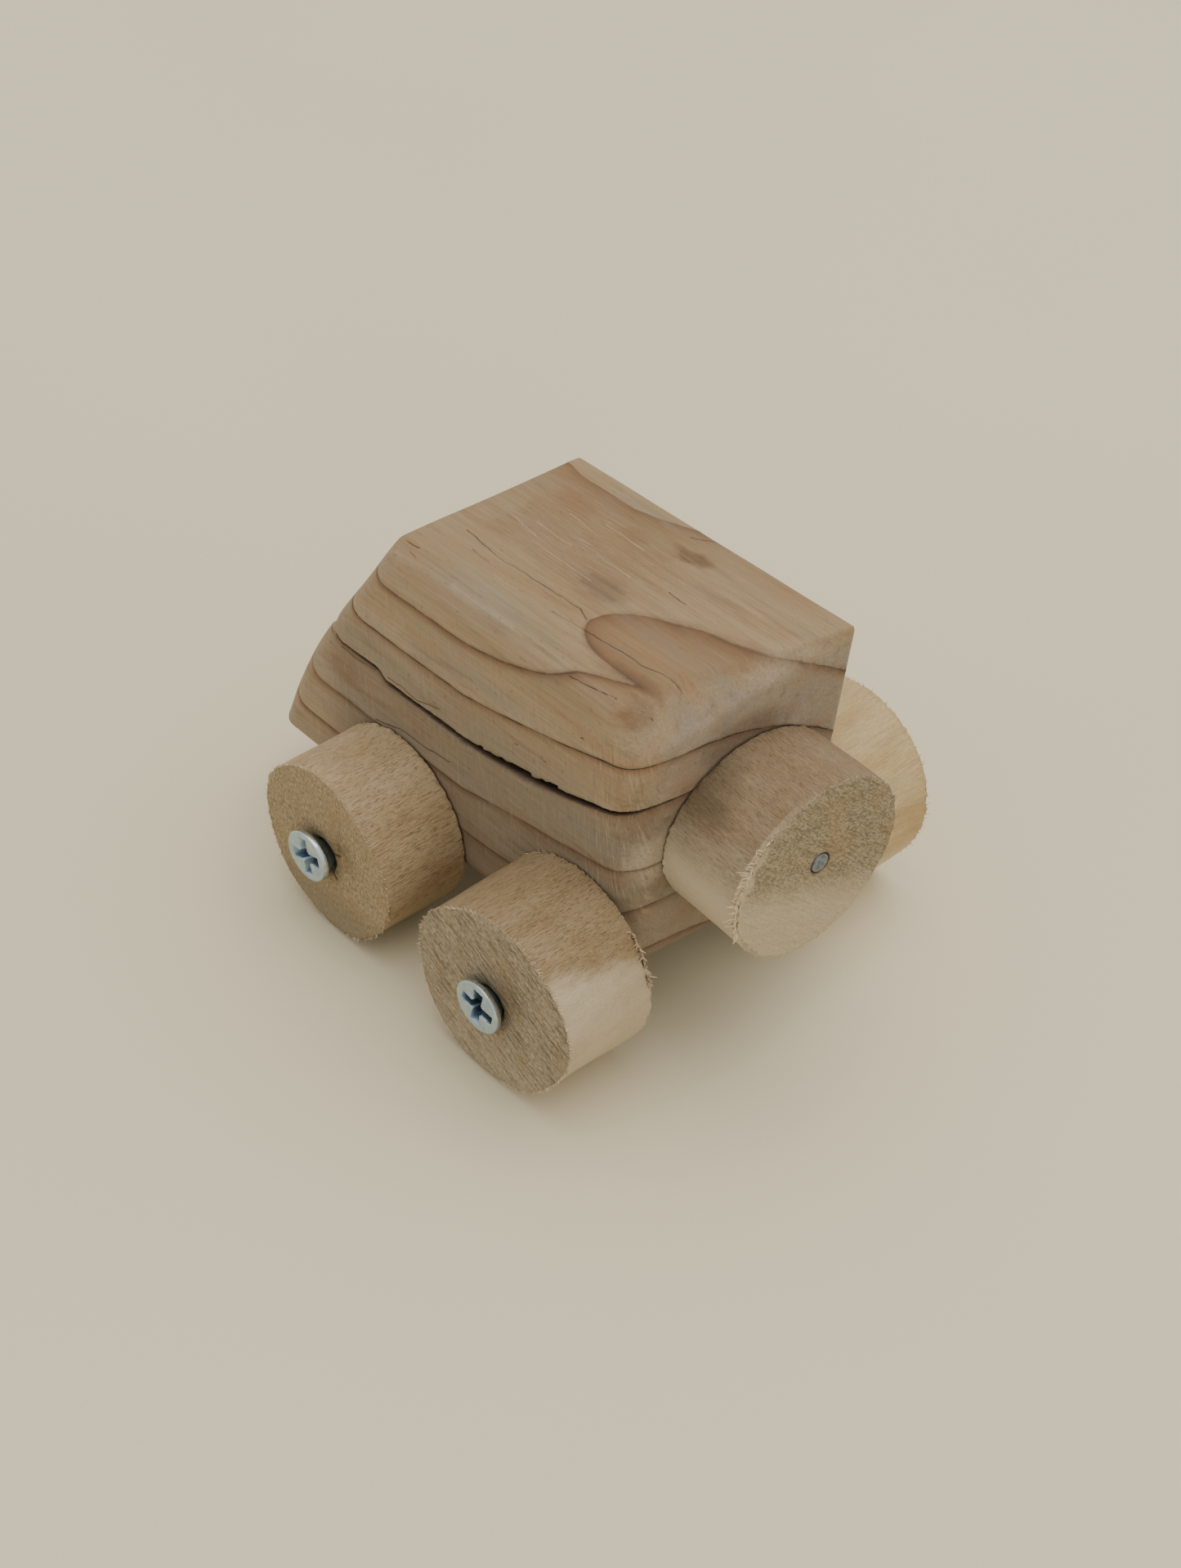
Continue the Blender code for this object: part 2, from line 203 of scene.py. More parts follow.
def round_max(a, b, r):
    """The two half spaces' common part, with the edge between them rounded by r."""
    return np.minimum(-r, np.maximum(a, b)) + np.hypot(np.maximum(a + r, 0.0), np.maximum(b + r, 0.0))


def block_field(p):
    """Below zero inside the sanded block, above zero outside."""
    x, z = p[:, 0], p[:, 2]
    chin, toe, slope, rear, slant = (p @ n - c for n, c in (CHIN, TOE, SLOPE, REAR, SLANT))
    top, low, left, right = z - Z_TOP, Z_LOW - z, x - X_LEFT, X_RIGHT - x
    back = round_max(rear, slant, 0.35)
    back = round_max(back, top, 1.6 * smooth01((x + 16.0) / 30.0) + 0.3)
    back = round_max(back, low, 5.3)
    slope = slope - 0.85 * np.exp(-((z - 39.0) / 13.0) ** 2)      # sanded a little full
    nose = round_max(round_max(round_max(slope, toe, 2.0), chin, 2.2), low, 3.2)
    shape = round_max(back, nose, 0.55)
    # the left edges, each sanded to its own radius, with the radii blended where they meet
    others = np.stack([top, np.maximum(rear, slant), slope, toe, low])
    radii = np.array([4.6, 5.0, 3.3, 4.6, 3.6])[:, None]
    share = np.exp(np.clip(others, -40.0, 5.0) / 1.6)
    shape = round_max(shape, left, (share * radii).sum(0) / share.sum(0))
    return round_max(shape, right, 0.55)


# ------ growth rings in the block
# height on the left side, slope and curvature towards the rear, of each late-wood line
RINGS = ((75.7, 0.10, 0.0105), (58.3, 0.10, 0.0105), (48.6, 0.16, 0.0017), (39.7, 0.075, 0.0043),
         (29.8, 0.21, -0.0010), (21.1, 0.02, 0.0045), (11.5, 0.06, 0.0032), (1.5, 0.05, 0.0025),
         (-9.0, 0.05, 0.0020), (-20.0, 0.04, 0.0015))
CRACK_RING = 3


def across_dip(x):
    """How far a line has dropped towards the right side, where the rings turn down."""
    return 0.5 * np.exp(-((x - 18.0) / 3.0) ** 2) - 0.0125 * np.maximum(0.0, 14.0 - x) ** 2


def ring_height(k, x, y):
    height, slope, curve = RINGS[k]
    t = np.maximum(0.0, y + 4.0)
    z = height + slope * t + curve * t * t
    # every line turns up just behind the sawn front
    behind = np.clip(6.0 - (y - front_y(x, min(height, Z_TOP))), 0.0, 4.5)
    z = z + (0.12 if k < 3 else 0.25) * behind * behind * (0.25 + 0.75 * smooth01((x - 2.0) / 14.0))
    if k == CRACK_RING:
        z = z + 1.4 * (1.0 - smooth01((y + 24.5) / 2.5))
    if k != 1:
        return z + across_dip(x)
    # the outermost lines: a tongue runs forward on the top and a shelf folds over the left edge
    shelf = z - 1.7 * np.maximum(0.0, 20.4 - x)
    plain = z + across_dip(x)
    ahead = np.maximum(0.0, y - 12.2)
    upper = 12.3 - 3.6 * ahead ** 0.42
    lower = 17.4 - 5.0 * np.exp(-ahead / 3.0)
    inner = np.minimum(0.0, x - upper)
    rise = np.minimum(0.45 * (x - upper) - 0.010 * inner * inner, 0.62 * (lower - x))
    tip = 0.045 * (x - 12.6) ** 2 * smooth01((x - 2.0) / 4.0)
    tongue = 67.0 + rise - 0.40 * np.maximum(0.0, 12.4 - y) - np.where(y < 12.4, tip, 0.0)
    reach = np.maximum(smooth01((x + 15.5) / 4.0), smooth01((y - 14.0) / 12.0))
    reach = reach * smooth01((y - 2.0) / 10.0)
    ridge = plain + (tongue - plain) * reach
    return soft_max(shelf, ridge, 0.5)


def ring_value(p):
    """A growing ring count downwards: whole numbers are late-wood lines."""
    x, y, z = p[:, 0], p[:, 1], p[:, 2]
    heights = [ring_height(k, x, y) for k in range(len(RINGS))]
    value = (heights[0] - z) / (RINGS[0][0] - RINGS[1][0])
    for k, (upper, lower) in enumerate(zip(heights, heights[1:])):
        value = np.where(z < upper, k + (upper - z) / np.maximum(upper - lower, 0.5), value)
    return value


# ------ the block's surface
CRACK_LOW, CRACK_HIGH = 0.45, 0.57        # the share of the rows that lies along the crack
CRACK_REACH = 0.7                         # half the height of that share


def row_levels():
    """Row positions from the underside (0) to the top (1), close together at the crack."""
    low = np.linspace(0.0, CRACK_LOW, 43)[:-1]
    crack = np.linspace(CRACK_LOW, CRACK_HIGH, 15)[:-1]
    return np.concatenate([low, crack, np.linspace(CRACK_HIGH, 1.0, 43)])


def block_lattice():
    """Points on the sharp block and quads between them, rows following the crack."""
    us = np.linspace(0.0, 1.0, 73)
    vs = np.linspace(0.0, 1.0, 157)
    ws = row_levels()
    nu, nv, nw = len(us) - 1, len(vs) - 1, len(ws) - 1
    index = -np.ones((nu + 1, nv + 1, nw + 1), int)
    i, j, k = np.meshgrid(range(nu + 1), range(nv + 1), range(nw + 1), indexing="ij")
    shell = (i == 0) | (i == nu) | (j == 0) | (j == nv) | (k == 0) | (k == nw)
    index[shell] = np.arange(shell.sum())
    u, v, w = us[i[shell]], vs[j[shell]], ws[k[shell]]
    x = X_RIGHT + (X_LEFT - X_RIGHT) * u
    z = Z_LOW + (Z_TOP - Z_LOW) * w
    for _ in range(6):
        y = front_y(x, z) + (back_y(x, z) - front_y(x, z)) * v
        crack = ring_height(CRACK_RING, x, y)
        low, high = crack - CRACK_REACH, crack + CRACK_REACH
        below = Z_LOW + (low - Z_LOW) * w / CRACK_LOW
        along = low + (high - low) * (w - CRACK_LOW) / (CRACK_HIGH - CRACK_LOW)
        above = high + (Z_TOP - high) * (w - CRACK_HIGH) / (1.0 - CRACK_HIGH)
        z = np.where(w < CRACK_LOW, below, np.where(w < CRACK_HIGH, along, above))
    faces = []
    for axis in range(3):
        moved = np.moveaxis(index, axis, 0)
        for end, flip in ((0, axis != 1), (-1, axis == 1)):
            sheet = moved[end]
            a, b, c, d = sheet[:-1, :-1], sheet[1:, :-1], sheet[1:, 1:], sheet[:-1, 1:]
            corners = [a, d, c, b] if flip else [a, b, c, d]
            faces.append(np.stack(corners, axis=-1).reshape(-1, 4))
    return np.stack([x, y, z], 1), np.concatenate(faces)


def pull_onto_block(p):
    """Move points of the sharp block onto the rounded one."""
    inset = 7.0
    x = np.clip(p[:, 0], X_RIGHT + inset, X_LEFT - inset)
    z = np.clip(p[:, 2], Z_LOW + inset, Z_TOP - inset)
    y = np.clip(p[:, 1], front_y(x, z) + inset, back_y(x, z) - inset)
    core = np.stack([x, y, z], 1)
    low, high = np.zeros(len(p)), np.full(len(p), 1.05)
    for _ in range(34):
        mid = (low + high) / 2.0
        outside = block_field(core + (p - core) * mid[:, None]) > 0.0
        high = np.where(outside, mid, high)
        low = np.where(outside, low, mid)
    return core + (p - core) * ((low + high) / 2.0)[:, None]


def gradient(p, h=0.05):
    g = np.stack([block_field(p + h * e) - block_field(p - h * e) for e in np.eye(3)], 1)
    return g / np.maximum(np.linalg.norm(g, axis=1), 1e-9)[:, None]


def crack_half_width(p):
    """Half the opening of the ring shake, along the left side and round the rear corner."""
    x, y = p[:, 0], p[:, 1]
    along = np.where(y > 26.0, y + (X_LEFT - x), y)
    width = np.interp(along, (-37.0, -34.0, -24.0, -14.0, 0.0, 8.0, 22.0, 27.0, 31.0, 40.0, 46.0),
                      (0.0, 0.16, 0.32, 0.50, 0.58, 0.64, 0.60, 0.42, 0.34, 0.16, 0.0))
    ragged = 1.0 + 0.14 * noise(p, (9, 3.4, 9), 5) + 0.14 * noise(p, (9, 0.9, 9), 6)
    return width * ragged * smooth01((x - 8.0) / 4.0)


def make_block(material):
    sharp_points, faces = block_lattice()
    p = pull_onto_block(sharp_points)
    normal = gradient(p)
    value = ring_value(p)
    # hand-sanded surface: long soft hollows, raised late wood
    part = value - np.floor(value)
    swell = 0.10 * noise(p, (15, 22, 13), 1) + 0.04 * noise(p, (6, 9, 5), 2)
    swell += 0.04 * np.exp(-np.minimum(part, 1.0 - part) * 30.0)
    # the open crack, as a groove
    off = p[:, 2] - ring_height(CRACK_RING, p[:, 0], p[:, 1])
    off += 0.10 * noise(p, (9, 4.0, 9), 7) + 0.07 * noise(p, (9, 1.1, 9), 8)
    half = crack_half_width(p)
    groove = np.clip(1.25 - np.abs(off) / np.maximum(half, 1e-3), 0.0, 1.0) * (half > 0.02)
    depth = (0.5 + 3.0 * half) * smooth01(groove * 1.6)
    p = p + normal * (swell - depth)[:, None]
    obj = new_object("block_wood_body", p, faces, material)
    store(obj, "ring", value)
    store(obj, "crack", smooth01(groove * 2.6))
    return obj


# ------ material graphs
def rgb(red, green, blue):
    """Screen colour numbers (0-255) as a linear colour."""
    shares = [c / 255.0 for c in (red, green, blue)]
    return (*[((c + 0.055) / 1.055) ** 2.4 if c > 0.04045 else c / 12.92 for c in shares], 1.0)


class Graph:
    """A small hand for wiring shader nodes. Coordinates and sizes are in millimetres."""

    def __init__(self, name):
        self.material = bpy.data.materials.new(name)
        self.material.use_nodes = True
        self.tree = self.material.node_tree
        self.tree.nodes.clear()
        self.shader = self.node("BsdfPrincipled")
        self.tree.links.new(self.shader.outputs[0], self.node("OutputMaterial").inputs[0])

    def put(self, socket, value):
        if isinstance(value, bpy.types.NodeSocket):
            self.tree.links.new(value, socket)
        else:
            socket.default_value = value

    def node(self, kind, *inputs, **settings):
        """A new node with its first inputs filled; None leaves an input as it is."""
        node = self.tree.nodes.new("ShaderNode" + kind)
        for label, value in settings.items():
            setattr(node, label, value)
        for socket, value in zip(node.inputs, inputs):
            if value is not None:
                self.put(socket, value)
        return node

    def math(self, operation, a, b=0.0, c=0.0, clamp=False):
        return self.node("Math", a, b, c, operation=operation, use_clamp=clamp).outputs[0]

    def times(self, first, *others):
        for other in others:
            first = self.math("MULTIPLY", first, other)
        return first

    def largest(self, first, *others):
        for other in others:
            first = self.math("MAXIMUM", first, other)
        return first

    def vector(self, operation, a, b=None, c=None, scale=None, output=0):
        return self.node("VectorMath", a, b, c, scale, operation=operation).outputs[output]

    def attribute(self, name, output="Fac"):
        return self.node("Attribute", attribute_name=name).outputs[output]

    def place(self):
        """The piece's own coordinates, in millimetres."""
        return self.vector("SCALE", self.node("TexCoord").outputs["Object"], scale=1.0 / MM)

    def split(self, vector):
        return self.node("SeparateXYZ", vector).outputs

    def join(self, x, y, z):
        return self.node("CombineXYZ", x, y, z).outputs[0]

    def noise(self, vector, size, detail=2.0, rough=0.5, turn=(0, 0, 0), shift=(0, 0, 0), output=0):
        """Noise with features of a size along each axis; shift counts features, turn turns them."""
        place = tuple(-a * b for a, b in zip(shift, size))
        scaled = self.node("Mapping", vector, place, turn, size, vector_type="TEXTURE").outputs[0]
        return self.node("TexNoise", scaled, None, 1.0, detail, rough).outputs[output]

    def span(self, value, low, high, to_low=0.0, to_high=1.0, smooth=True):
        kind = "SMOOTHSTEP" if smooth else "LINEAR"
        return self.node("MapRange", value, low, high, to_low, to_high, interpolation_type=kind).outputs[0]

    def ramp(self, value, stops):
        node = self.node("ValToRGB", value)
        items = node.color_ramp.elements
        while len(items) < len(stops):
            items.new(0.5)
        for item, (at, tone) in zip(items, stops):
            item.position = at
            item.color = rgb(*tone)
        return node.outputs[0]

    def mix(self, share, a, b, mode="MIX"):
        node = self.node("Mix", share, data_type="RGBA", blend_type=mode)
        self.put(node.inputs[6], a)
        self.put(node.inputs[7], b)
        return node.outputs[2]

    def wash(self, base, tone, *shares):
        """The base colour under a tone, as strong as the product of the shares."""
        return self.mix(self.times(*shares), base, rgb(*tone))

    def dye(self, base, factors, share):
        """The base colour multiplied by three factors."""
        return self.mix(share, base, (*factors, 1.0), "MULTIPLY")

    def near(self, vector, centre, size):
        """1 at the centre and 0 beyond the ellipsoid of that size, soft between."""
        away = self.vector("DIVIDE", self.vector("SUBTRACT", vector, centre), size)
        return self.math("SUBTRACT", 1.0, self.vector("LENGTH", away, output="Value"), clamp=True)

    def warp(self, vector, size, amount):
        """The same coordinates, pushed about a little by noise."""
        push = self.noise(vector, (size,) * 3, 3.0, output="Color")
        push = self.vector("MULTIPLY_ADD", push, (2.0 * amount,) * 3, (-amount,) * 3)
        return self.vector("ADD", vector, push)

    def stroke(self, vector, points, half, soft=0.5):
        """1 on the line through the points, 0 beyond half from it."""
        parts = []
        for a, b in zip(points, points[1:]):
            a, b = Vector(a), Vector(b)
            away = self.vector("SUBTRACT", vector, a)
            along = self.vector("DOT_PRODUCT", away, (b - a) / (b - a).length_squared, output="Value")
            foot = self.vector("SCALE", b - a, scale=self.math("ADD", along, 0.0, clamp=True))
            far = self.vector("DISTANCE", away, foot, output="Value")
            parts.append(self.span(far, half * (1.0 - soft), half, 1.0, 0.0))
        return self.largest(*parts)

    def band(self, value, low, high, soft):
        """1 between low and high, with soft ends."""
        return self.times(self.span(value, low - soft, low + soft),
                          self.span(value, high - soft, high + soft, 1.0, 0.0))

    def bump(self, height, distance, strength):
        node = self.node("Bump")
        node.inputs["Distance"].default_value = distance * MM
        node.inputs["Strength"].default_value = strength
        self.put(node.inputs["Height"], height)
        return node.outputs[0]

    def finish(self, colour, roughness, normal=None, metallic=0.0, specular=0.35):
        values = {"Base Color": colour, "Roughness": roughness, "Metallic": metallic,
                  "Specular IOR Level": specular}
        if normal is not None:
            values["Normal"] = normal
        for label, value in values.items():
            self.put(self.shader.inputs[label], value)
        return self.material


# ------ the block's look
def on_top(points):
    return [(x, y, Z_TOP) for x, y in points]


def on_left(points):
    return [(X_LEFT, y, z) for y, z in points]


# long tints along the grain: feature size, shift, from and to in the noise, strength, tone
TINTS = (
    ((5.0, 34, 6.0), (0, 0, 0), 0.46, 0.70, 0.60, (164, 128, 94)),
    ((4.5, 30, 5.0), (3.1, 7.7, 1.9), 0.50, 0.72, 0.55, (146, 138, 122)),
    ((2.2, 20, 2.6), (6, 2, 9), 0.52, 0.74, 0.42, (118, 94, 70)),
    ((3.0, 26, 3.5), (2, 5, 4), 0.54, 0.76, 0.32, (184, 167, 138)),
)
# soiled and pale spots, and one spot of painted shade: centre, size, strength, tone
SPOTS = (
    ((-7, -11, 67), (3.0, 6.0, 4), 0.60, (134, 98, 68)),
    ((-7.5, 1, 67), (2.4, 5.0, 4), 0.50, (130, 98, 68)),
    ((-10.2, 10.8, 67), (2.0, 5.0, 4), 0.85, (98, 72, 48)),
    ((19.5, -3, 66), (4.6, 12, 6), 0.34, (152, 142, 122)),
    ((5, 8, 67), (3.6, 6.5, 4), 0.50, (112, 92, 70)),
    ((16.3, 26.0, 66), (1.8, 7.0, 4), 0.60, (102, 80, 60)),
    ((21, 33, 46), (5, 5, 9), 0.35, (104, 82, 62)),
    # painted shade on the rear face, over the spare wheel
    ((3, 35, 55), (11, 5, 6), 0.70, (108, 90, 72)),
    ((20.0, 30.0, 64.5), (3.0, 3.5, 3.0), 0.45, (116, 92, 70)),
    ((22, -33, 36), (4, 6, 5), 0.4, (120, 96, 70)),
    ((18, 34, 38), (7, 6, 7), 0.90, (186, 171, 148)),
    ((16, 34, 22), (9, 6, 10), 0.60, (166, 152, 132)),
    ((-3, 36, 65), (8, 5, 4), 0.55, (180, 162, 138)),
)
# hair cracks of the top: points (x, y) and half width
TOP_CRACKS = (
    (((10.8, -16), (11.9, -7.6), (11.5, -2.6), (11.3, 2.9), (11.3, 9.3), (12.3, 11.7)), 0.12),
    (((13.5, -11.7), (13.7, -7.9)), 0.10),
    (((14.7, 7), (14.2, 13.8), (13.9, 18.4), (13.6, 21.4), (13.8, 24.6), (12.9, 27.7), (12.6, 32.2)), 0.11),
    (((-1.1, 14.8), (-1, 18.5)), 0.13),
    (((19.2, -20), (19, -17.4)), 0.11),
    (((20.1, -18), (20.4, -16.2)), 0.11),
    (((-13.6, 7.2), (-15.7, 11)), 0.16),
)
EDGE_CRACK = ((21.2, 17.9, 65), (20.9, 22.2, 65.3), (20.4, 26.6, 65.7), (19.1, 30.1, 65.2),
              (18.3, 31.4, 63.8))
# faint lines of the left side: points (y, z) and half width
SIDE_LINES = (
    (((-33.3, 40.3), (-30, 40.1), (-24.9, 40.7)), 0.22),
    (((-21.8, 41.0), (-18.8, 41.2), (-14.8, 40.7), (-9.5, 42.4)), 0.16),
    (((-25.3, 30.4), (-19.1, 32.2), (-12.1, 32.5), (-7.2, 33.2)), 0.20),
    (((21.5, 56.4), (21.9, 56.5)), 0.22),
    (((7.7, 46.5), (8.3, 46.6)), 0.16),
    (((14.1, 47.2), (14.5, 47.2)), 0.18),
)
# pale scratches and dark smudges of the top, as points (x, y)
SCRATCHES = (((5.1, -8), (5.4, 5.2)), ((2.8, -15.1), (3.9, -8.4)), ((-4.1, -9.3), (-3.4, -3.6)),
             ((1.2, -11.0), (1.6, -3.0)), ((-6.2, -3.5), (-5.8, 5.0)), ((0.2, 1.0), (0.4, 8.5)))
SMUDGES = (((6.3, 4.5), (6.2, 10.8)), ((4.1, 4.3), (4.0, 10.7)))
# rubbed streaks along the left top edge: points, strength, tone
EDGE_STREAKS = ((((20.6, -8, 66), (20.6, 5, 66)), 0.22, (190, 180, 158)),
                (((21.3, -20, 64.6), (21.3, 4, 64.6)), 0.28, (150, 118, 90)))


def block_material():
    g = Graph("block_wood_look")
    at = g.place()
    x, y, z = g.split(at)
    top = g.span(z, 65.2, 66.7)
    # the ring count, with a small wander, and its part: 0 just below a line, 1 just above the next
    wander = g.noise(at, (3, 9, 3), 3.0, 0.6)
    ring = g.math("MULTIPLY_ADD", g.math("SUBTRACT", wander, 0.5), 0.050, g.attribute("ring"))
    part = g.math("FRACT", ring)
    base = g.ramp(part, ((0.0, (120, 92, 68)), (0.05, (142, 116, 88)), (0.18, (160, 138, 109)),
                         (0.80, (168, 148, 119)), (1.0, (172, 152, 123))))
    for size, shift, low, high, strength, tone in TINTS:
        base = g.wash(base, tone, g.span(g.noise(at, size, 4.0, 0.6, shift=shift), low, high, 0.0, strength))
    # tone of the faces: browner top, painted shade on the lower block behind the nose, greyer back
    base = g.dye(base, (0.835, 0.80, 0.69), top)
    # painted shade: the block darker and cooler low down, towards the wheels
    lower_shade = g.times(g.span(z, 40.0, 53.0, 1.0, 0.0), g.span(y, -42.0, -30.0))
    base = g.dye(base, (0.735, 0.80, 0.88), lower_shade)
    back = g.times(g.span(y, 32.5, 34.5), g.span(z, 63.0, 65.5, 1.0, 0.0))
    base = g.dye(base, (0.92, 0.99, 1.16), back)
    # the rubbed, scratched part of the top
    loose = g.warp(at, 4, 1.6)
    loose_x, loose_y, _ = g.split(loose)
    rubbed = g.times(g.band(loose_x, -9.5, 7.6, 1.1), g.band(loose_y, -15.5, 9.5, 1.1), top)
    hair = g.noise(at, (0.26, 6.0, 1.0), 3.0, 0.65, turn=(0.0, 0.0, 0.03))
    base = g.wash(base, (140, 111, 80), rubbed, 0.56)
    base = g.wash(base, (184, 160, 126), rubbed, g.span(hair, 0.52, 0.68, 0.0, 0.36))
    base = g.wash(base, (112, 86, 60), rubbed, g.span(hair, 0.30, 0.46, 0.40, 0.0))
    streaky = g.span(g.noise(at, (0.6, 6.0, 0.6), 3.0, 0.6, shift=(3, 8, 6)), 0.25, 0.60, 0.55, 1.0)
    # spots of soil and paler wood, and the painted shade over the spare
    for centre, size, strength, tone in SPOTS:
        spot = g.span(g.near(loose, centre, size), 0.0, 0.65, 0.0, strength)
        base = g.wash(base, tone, spot, streaky)
    # grain fibres along the length, short pores, sanding marks across the flank
    fibre = g.noise(at, (0.42, 11, 0.42), 4.0, 0.62)
    base = g.wash(base, (112, 88, 64), g.span(fibre, 0.28, 0.70, 0.36, 0.0, smooth=False))
    speck = g.noise(at, (0.35, 1.6, 1.1), 2.0, 0.6, shift=(5, 1, 2))
    base = g.wash(base, (98, 74, 52), g.span(speck, 0.60, 0.78, 0.0, 0.40))
    sanding = g.noise(at, (4.0, 0.30, 4.0), 3.0, 0.6, turn=(0.10, 0.0, 0.0), shift=(0, 4, 1))
    corner = g.band(y, 24.0, 34.5, 2.5)
    sanded = g.times(g.band(z, 14.0, 60.0, 4.0), g.span(x, 12.0, 20.0),
                     g.math("MULTIPLY_ADD", corner, 0.65, 0.45))
    base = g.wash(base, (190, 172, 144), sanded, g.span(sanding, 0.54, 0.72, 0.0, 0.42))
    base = g.wash(base, (98, 78, 58), sanded, g.span(sanding, 0.30, 0.45, 0.36, 0.0))
    # late-wood lines, uneven in strength and width, with a soft shade under them
    strength = g.span(g.noise(at, (4.0, 4.5, 4.0), 3.0, 0.6, shift=(1, 4, 2)), 0.34, 0.60, 0.45, 1.0)
    below = g.math("MINIMUM", part, g.times(g.math("SUBTRACT", 1.0, part), 2.4))
    solid = g.math("LESS_THAN", 0.5, ring)
    base = g.wash(base, (104, 80, 60), g.span(below, 0.01, 0.13, 0.46, 0.0), strength, solid)
    reach = g.math("MULTIPLY_ADD", strength, 0.022, 0.010)
    line = g.times(g.span(below, 0.006, reach, 1.0, 0.0), strength, solid)
    second = g.math("LESS_THAN", g.math("ABSOLUTE", g.math("SUBTRACT", ring, 2.0)), 0.3)
    weight = g.times(g.math("MULTIPLY_ADD", second, 0.45, 0.50), g.math("MULTIPLY_ADD", top, -0.35, 1.0))
    base = g.wash(base, (56, 40, 30), line, weight)
    base = g.dye(base, (0.93, 0.88, 0.86), g.times(top, g.span(ring, 1.0, 1.02)))
    # cracks and scratches
    bent = g.warp(at, 2.5, 0.35)
    bent_x, bent_y, bent_z = g.split(bent)
    flat = g.join(bent_x, bent_y, Z_TOP)
    marks = [g.times(top, g.stroke(flat, on_top(points), half)) for points, half in TOP_CRACKS]
    broken = g.span(g.noise(at, (2.0, 4.2, 2.0), shift=(8, 3, 5)), 0.36, 0.60, 0.40, 0.95)
    split = g.times(g.largest(g.stroke(bent, EDGE_CRACK, 0.11), *marks), broken)
    base = g.wash(base, (56, 42, 32), split, 0.80)
    wall = g.join(X_LEFT, bent_y, bent_z)
    side = g.span(x, 20.0, 21.2)
    for points, half in SIDE_LINES:
        base = g.wash(base, (92, 68, 50), side, g.stroke(wall, on_left(points), half), 0.75)
    marks = [g.stroke(flat, on_top(points), 0.15, 0.9) for points in SCRATCHES]
    base = g.wash(base, (196, 176, 144), g.largest(*marks), top, 0.30)
    for points in SMUDGES:
        base = g.wash(base, (88, 72, 56), g.stroke(flat, on_top(points), 0.8, 0.95), top, 0.35)
    for points, strength, tone in EDGE_STREAKS:
        base = g.wash(base, tone, g.stroke(bent, points, 0.9, 0.95), strength)
    # the open crack's inside
    base = g.wash(base, (24, 16, 13), g.attribute("crack"))
    bumps = g.math("MULTIPLY_ADD", fibre, 0.5, g.times(speck, 0.5))
    bumps = g.math("MULTIPLY_ADD", g.times(rubbed, hair), 0.8, bumps)
    bumps = g.math("MULTIPLY_ADD", split, -1.5, bumps)
    rough = g.span(fibre, 0.2, 0.8, 0.80, 0.66, smooth=False)
    return g.finish(base, rough, g.bump(bumps, 0.22, 0.55), specular=0.26)


# ------ the other pieces' looks
def slice_material(name, side, end, pale, saw_turn, saw, dashes=0.54, soiled=0.35,
                   warm_tone=(0.76, 0.735, 0.67)):
    """Wood of one dowel slice: side grain along the axis, sawn end grain."""
    g = Graph(name)
    at = g.attribute("loc", "Vector")
    face = g.attribute("face")
    drift = g.noise(at, (16, 5.5, 5.5), 4.0, 0.6)
    browner = [c * f for c, f in zip(side, (0.92, 0.89, 0.84))]
    tone = g.wash(rgb(*side), browner, g.span(drift, 0.35, 0.68))
    soot = g.noise(at, (6.0, 2.8, 2.8), 4.0, 0.65, shift=(4, 1, 6))
    tone = g.wash(tone, (112, 92, 68), g.span(soot, 0.54, 0.78, 0.0, soiled))
    dash = g.noise(at, (1.3, 0.22, 0.22), 2.0, 0.7, shift=(2, 5, 1))
    tone = g.wash(tone, (106, 87, 57), g.span(dash, 0.545, 0.630, 0.0, dashes))
    tone = g.wash(tone, (212, 195, 156), g.span(dash, 0.34, 0.45, dashes * 0.6, 0.0))
    fine = g.noise(at, (5.0, 0.26, 0.26), 3.0, 0.65)
    tone = g.wash(tone, (118, 94, 68), g.span(fine, 0.33, 0.68, 0.30, 0.0, smooth=False))
    tone = g.dye(tone, warm_tone, g.attribute("warm"))
    # paler wood, and on the lower part of most slices painted light
    tone = g.wash(tone, pale, g.attribute("pale"))
    # end grain: pores, saw lines, dirt
    saw_angle = (-saw_turn, 0.0, 0.0)
    grit = g.noise(at, (1.0, 0.75, 0.32), 3.0, 0.70, turn=saw_angle, shift=(7, 3, 8))
    cut = g.noise(at, (10, 4.5, 0.42), 2.0, 0.6, turn=saw_angle)
    ends = g.wash(rgb(*end), (84, 70, 50), g.span(grit, 0.38, 0.58, 0.56, 0.0))
    ends = g.wash(ends, (78, 64, 46), g.span(cut, 0.30, 0.58, saw, 0.0))
    ends = g.wash(ends, (204, 186, 152), g.span(grit, 0.60, 0.78, 0.0, 0.42))
    blot = g.noise(at, (20, 6, 6), 3.0, 0.55, shift=(1, 2, 3))
    ends = g.wash(ends, (150, 122, 84), g.span(blot, 0.48, 0.72, 0.0, 0.40))
    # paler end grain, partly painted light low on the ends
    ends = g.wash(ends, [c * 0.97 for c in pale], g.attribute("pale_end"), 0.80)
    colour = g.wash(g.mix(face, tone, ends), (70, 60, 45), g.attribute("darkening"))
    high = g.math("ADD", g.times(dash, -1.0), g.times(fine, 0.5))
    flat = g.math("ADD", g.times(grit, 0.9), g.times(cut, 0.9))
    relief = g.node("Mix", face, None, high, flat).outputs[0]
    rough = g.span(grit, 0.3, 0.7, 0.86, 0.74, smooth=False)
    return g.finish(colour, rough, g.bump(relief, 0.36, 0.75), specular=0.22)


def splinter_material():
    g = Graph("torn_fibre")
    at = g.place()
    tone = g.wash(rgb(226, 208, 174), (190, 168, 132), g.noise(at, (0.8, 0.8, 0.8)))
    return g.finish(tone, 0.8, g.bump(g.noise(at, (0.3, 0.3, 0.3)), 0.1, 0.5), specular=0.2)


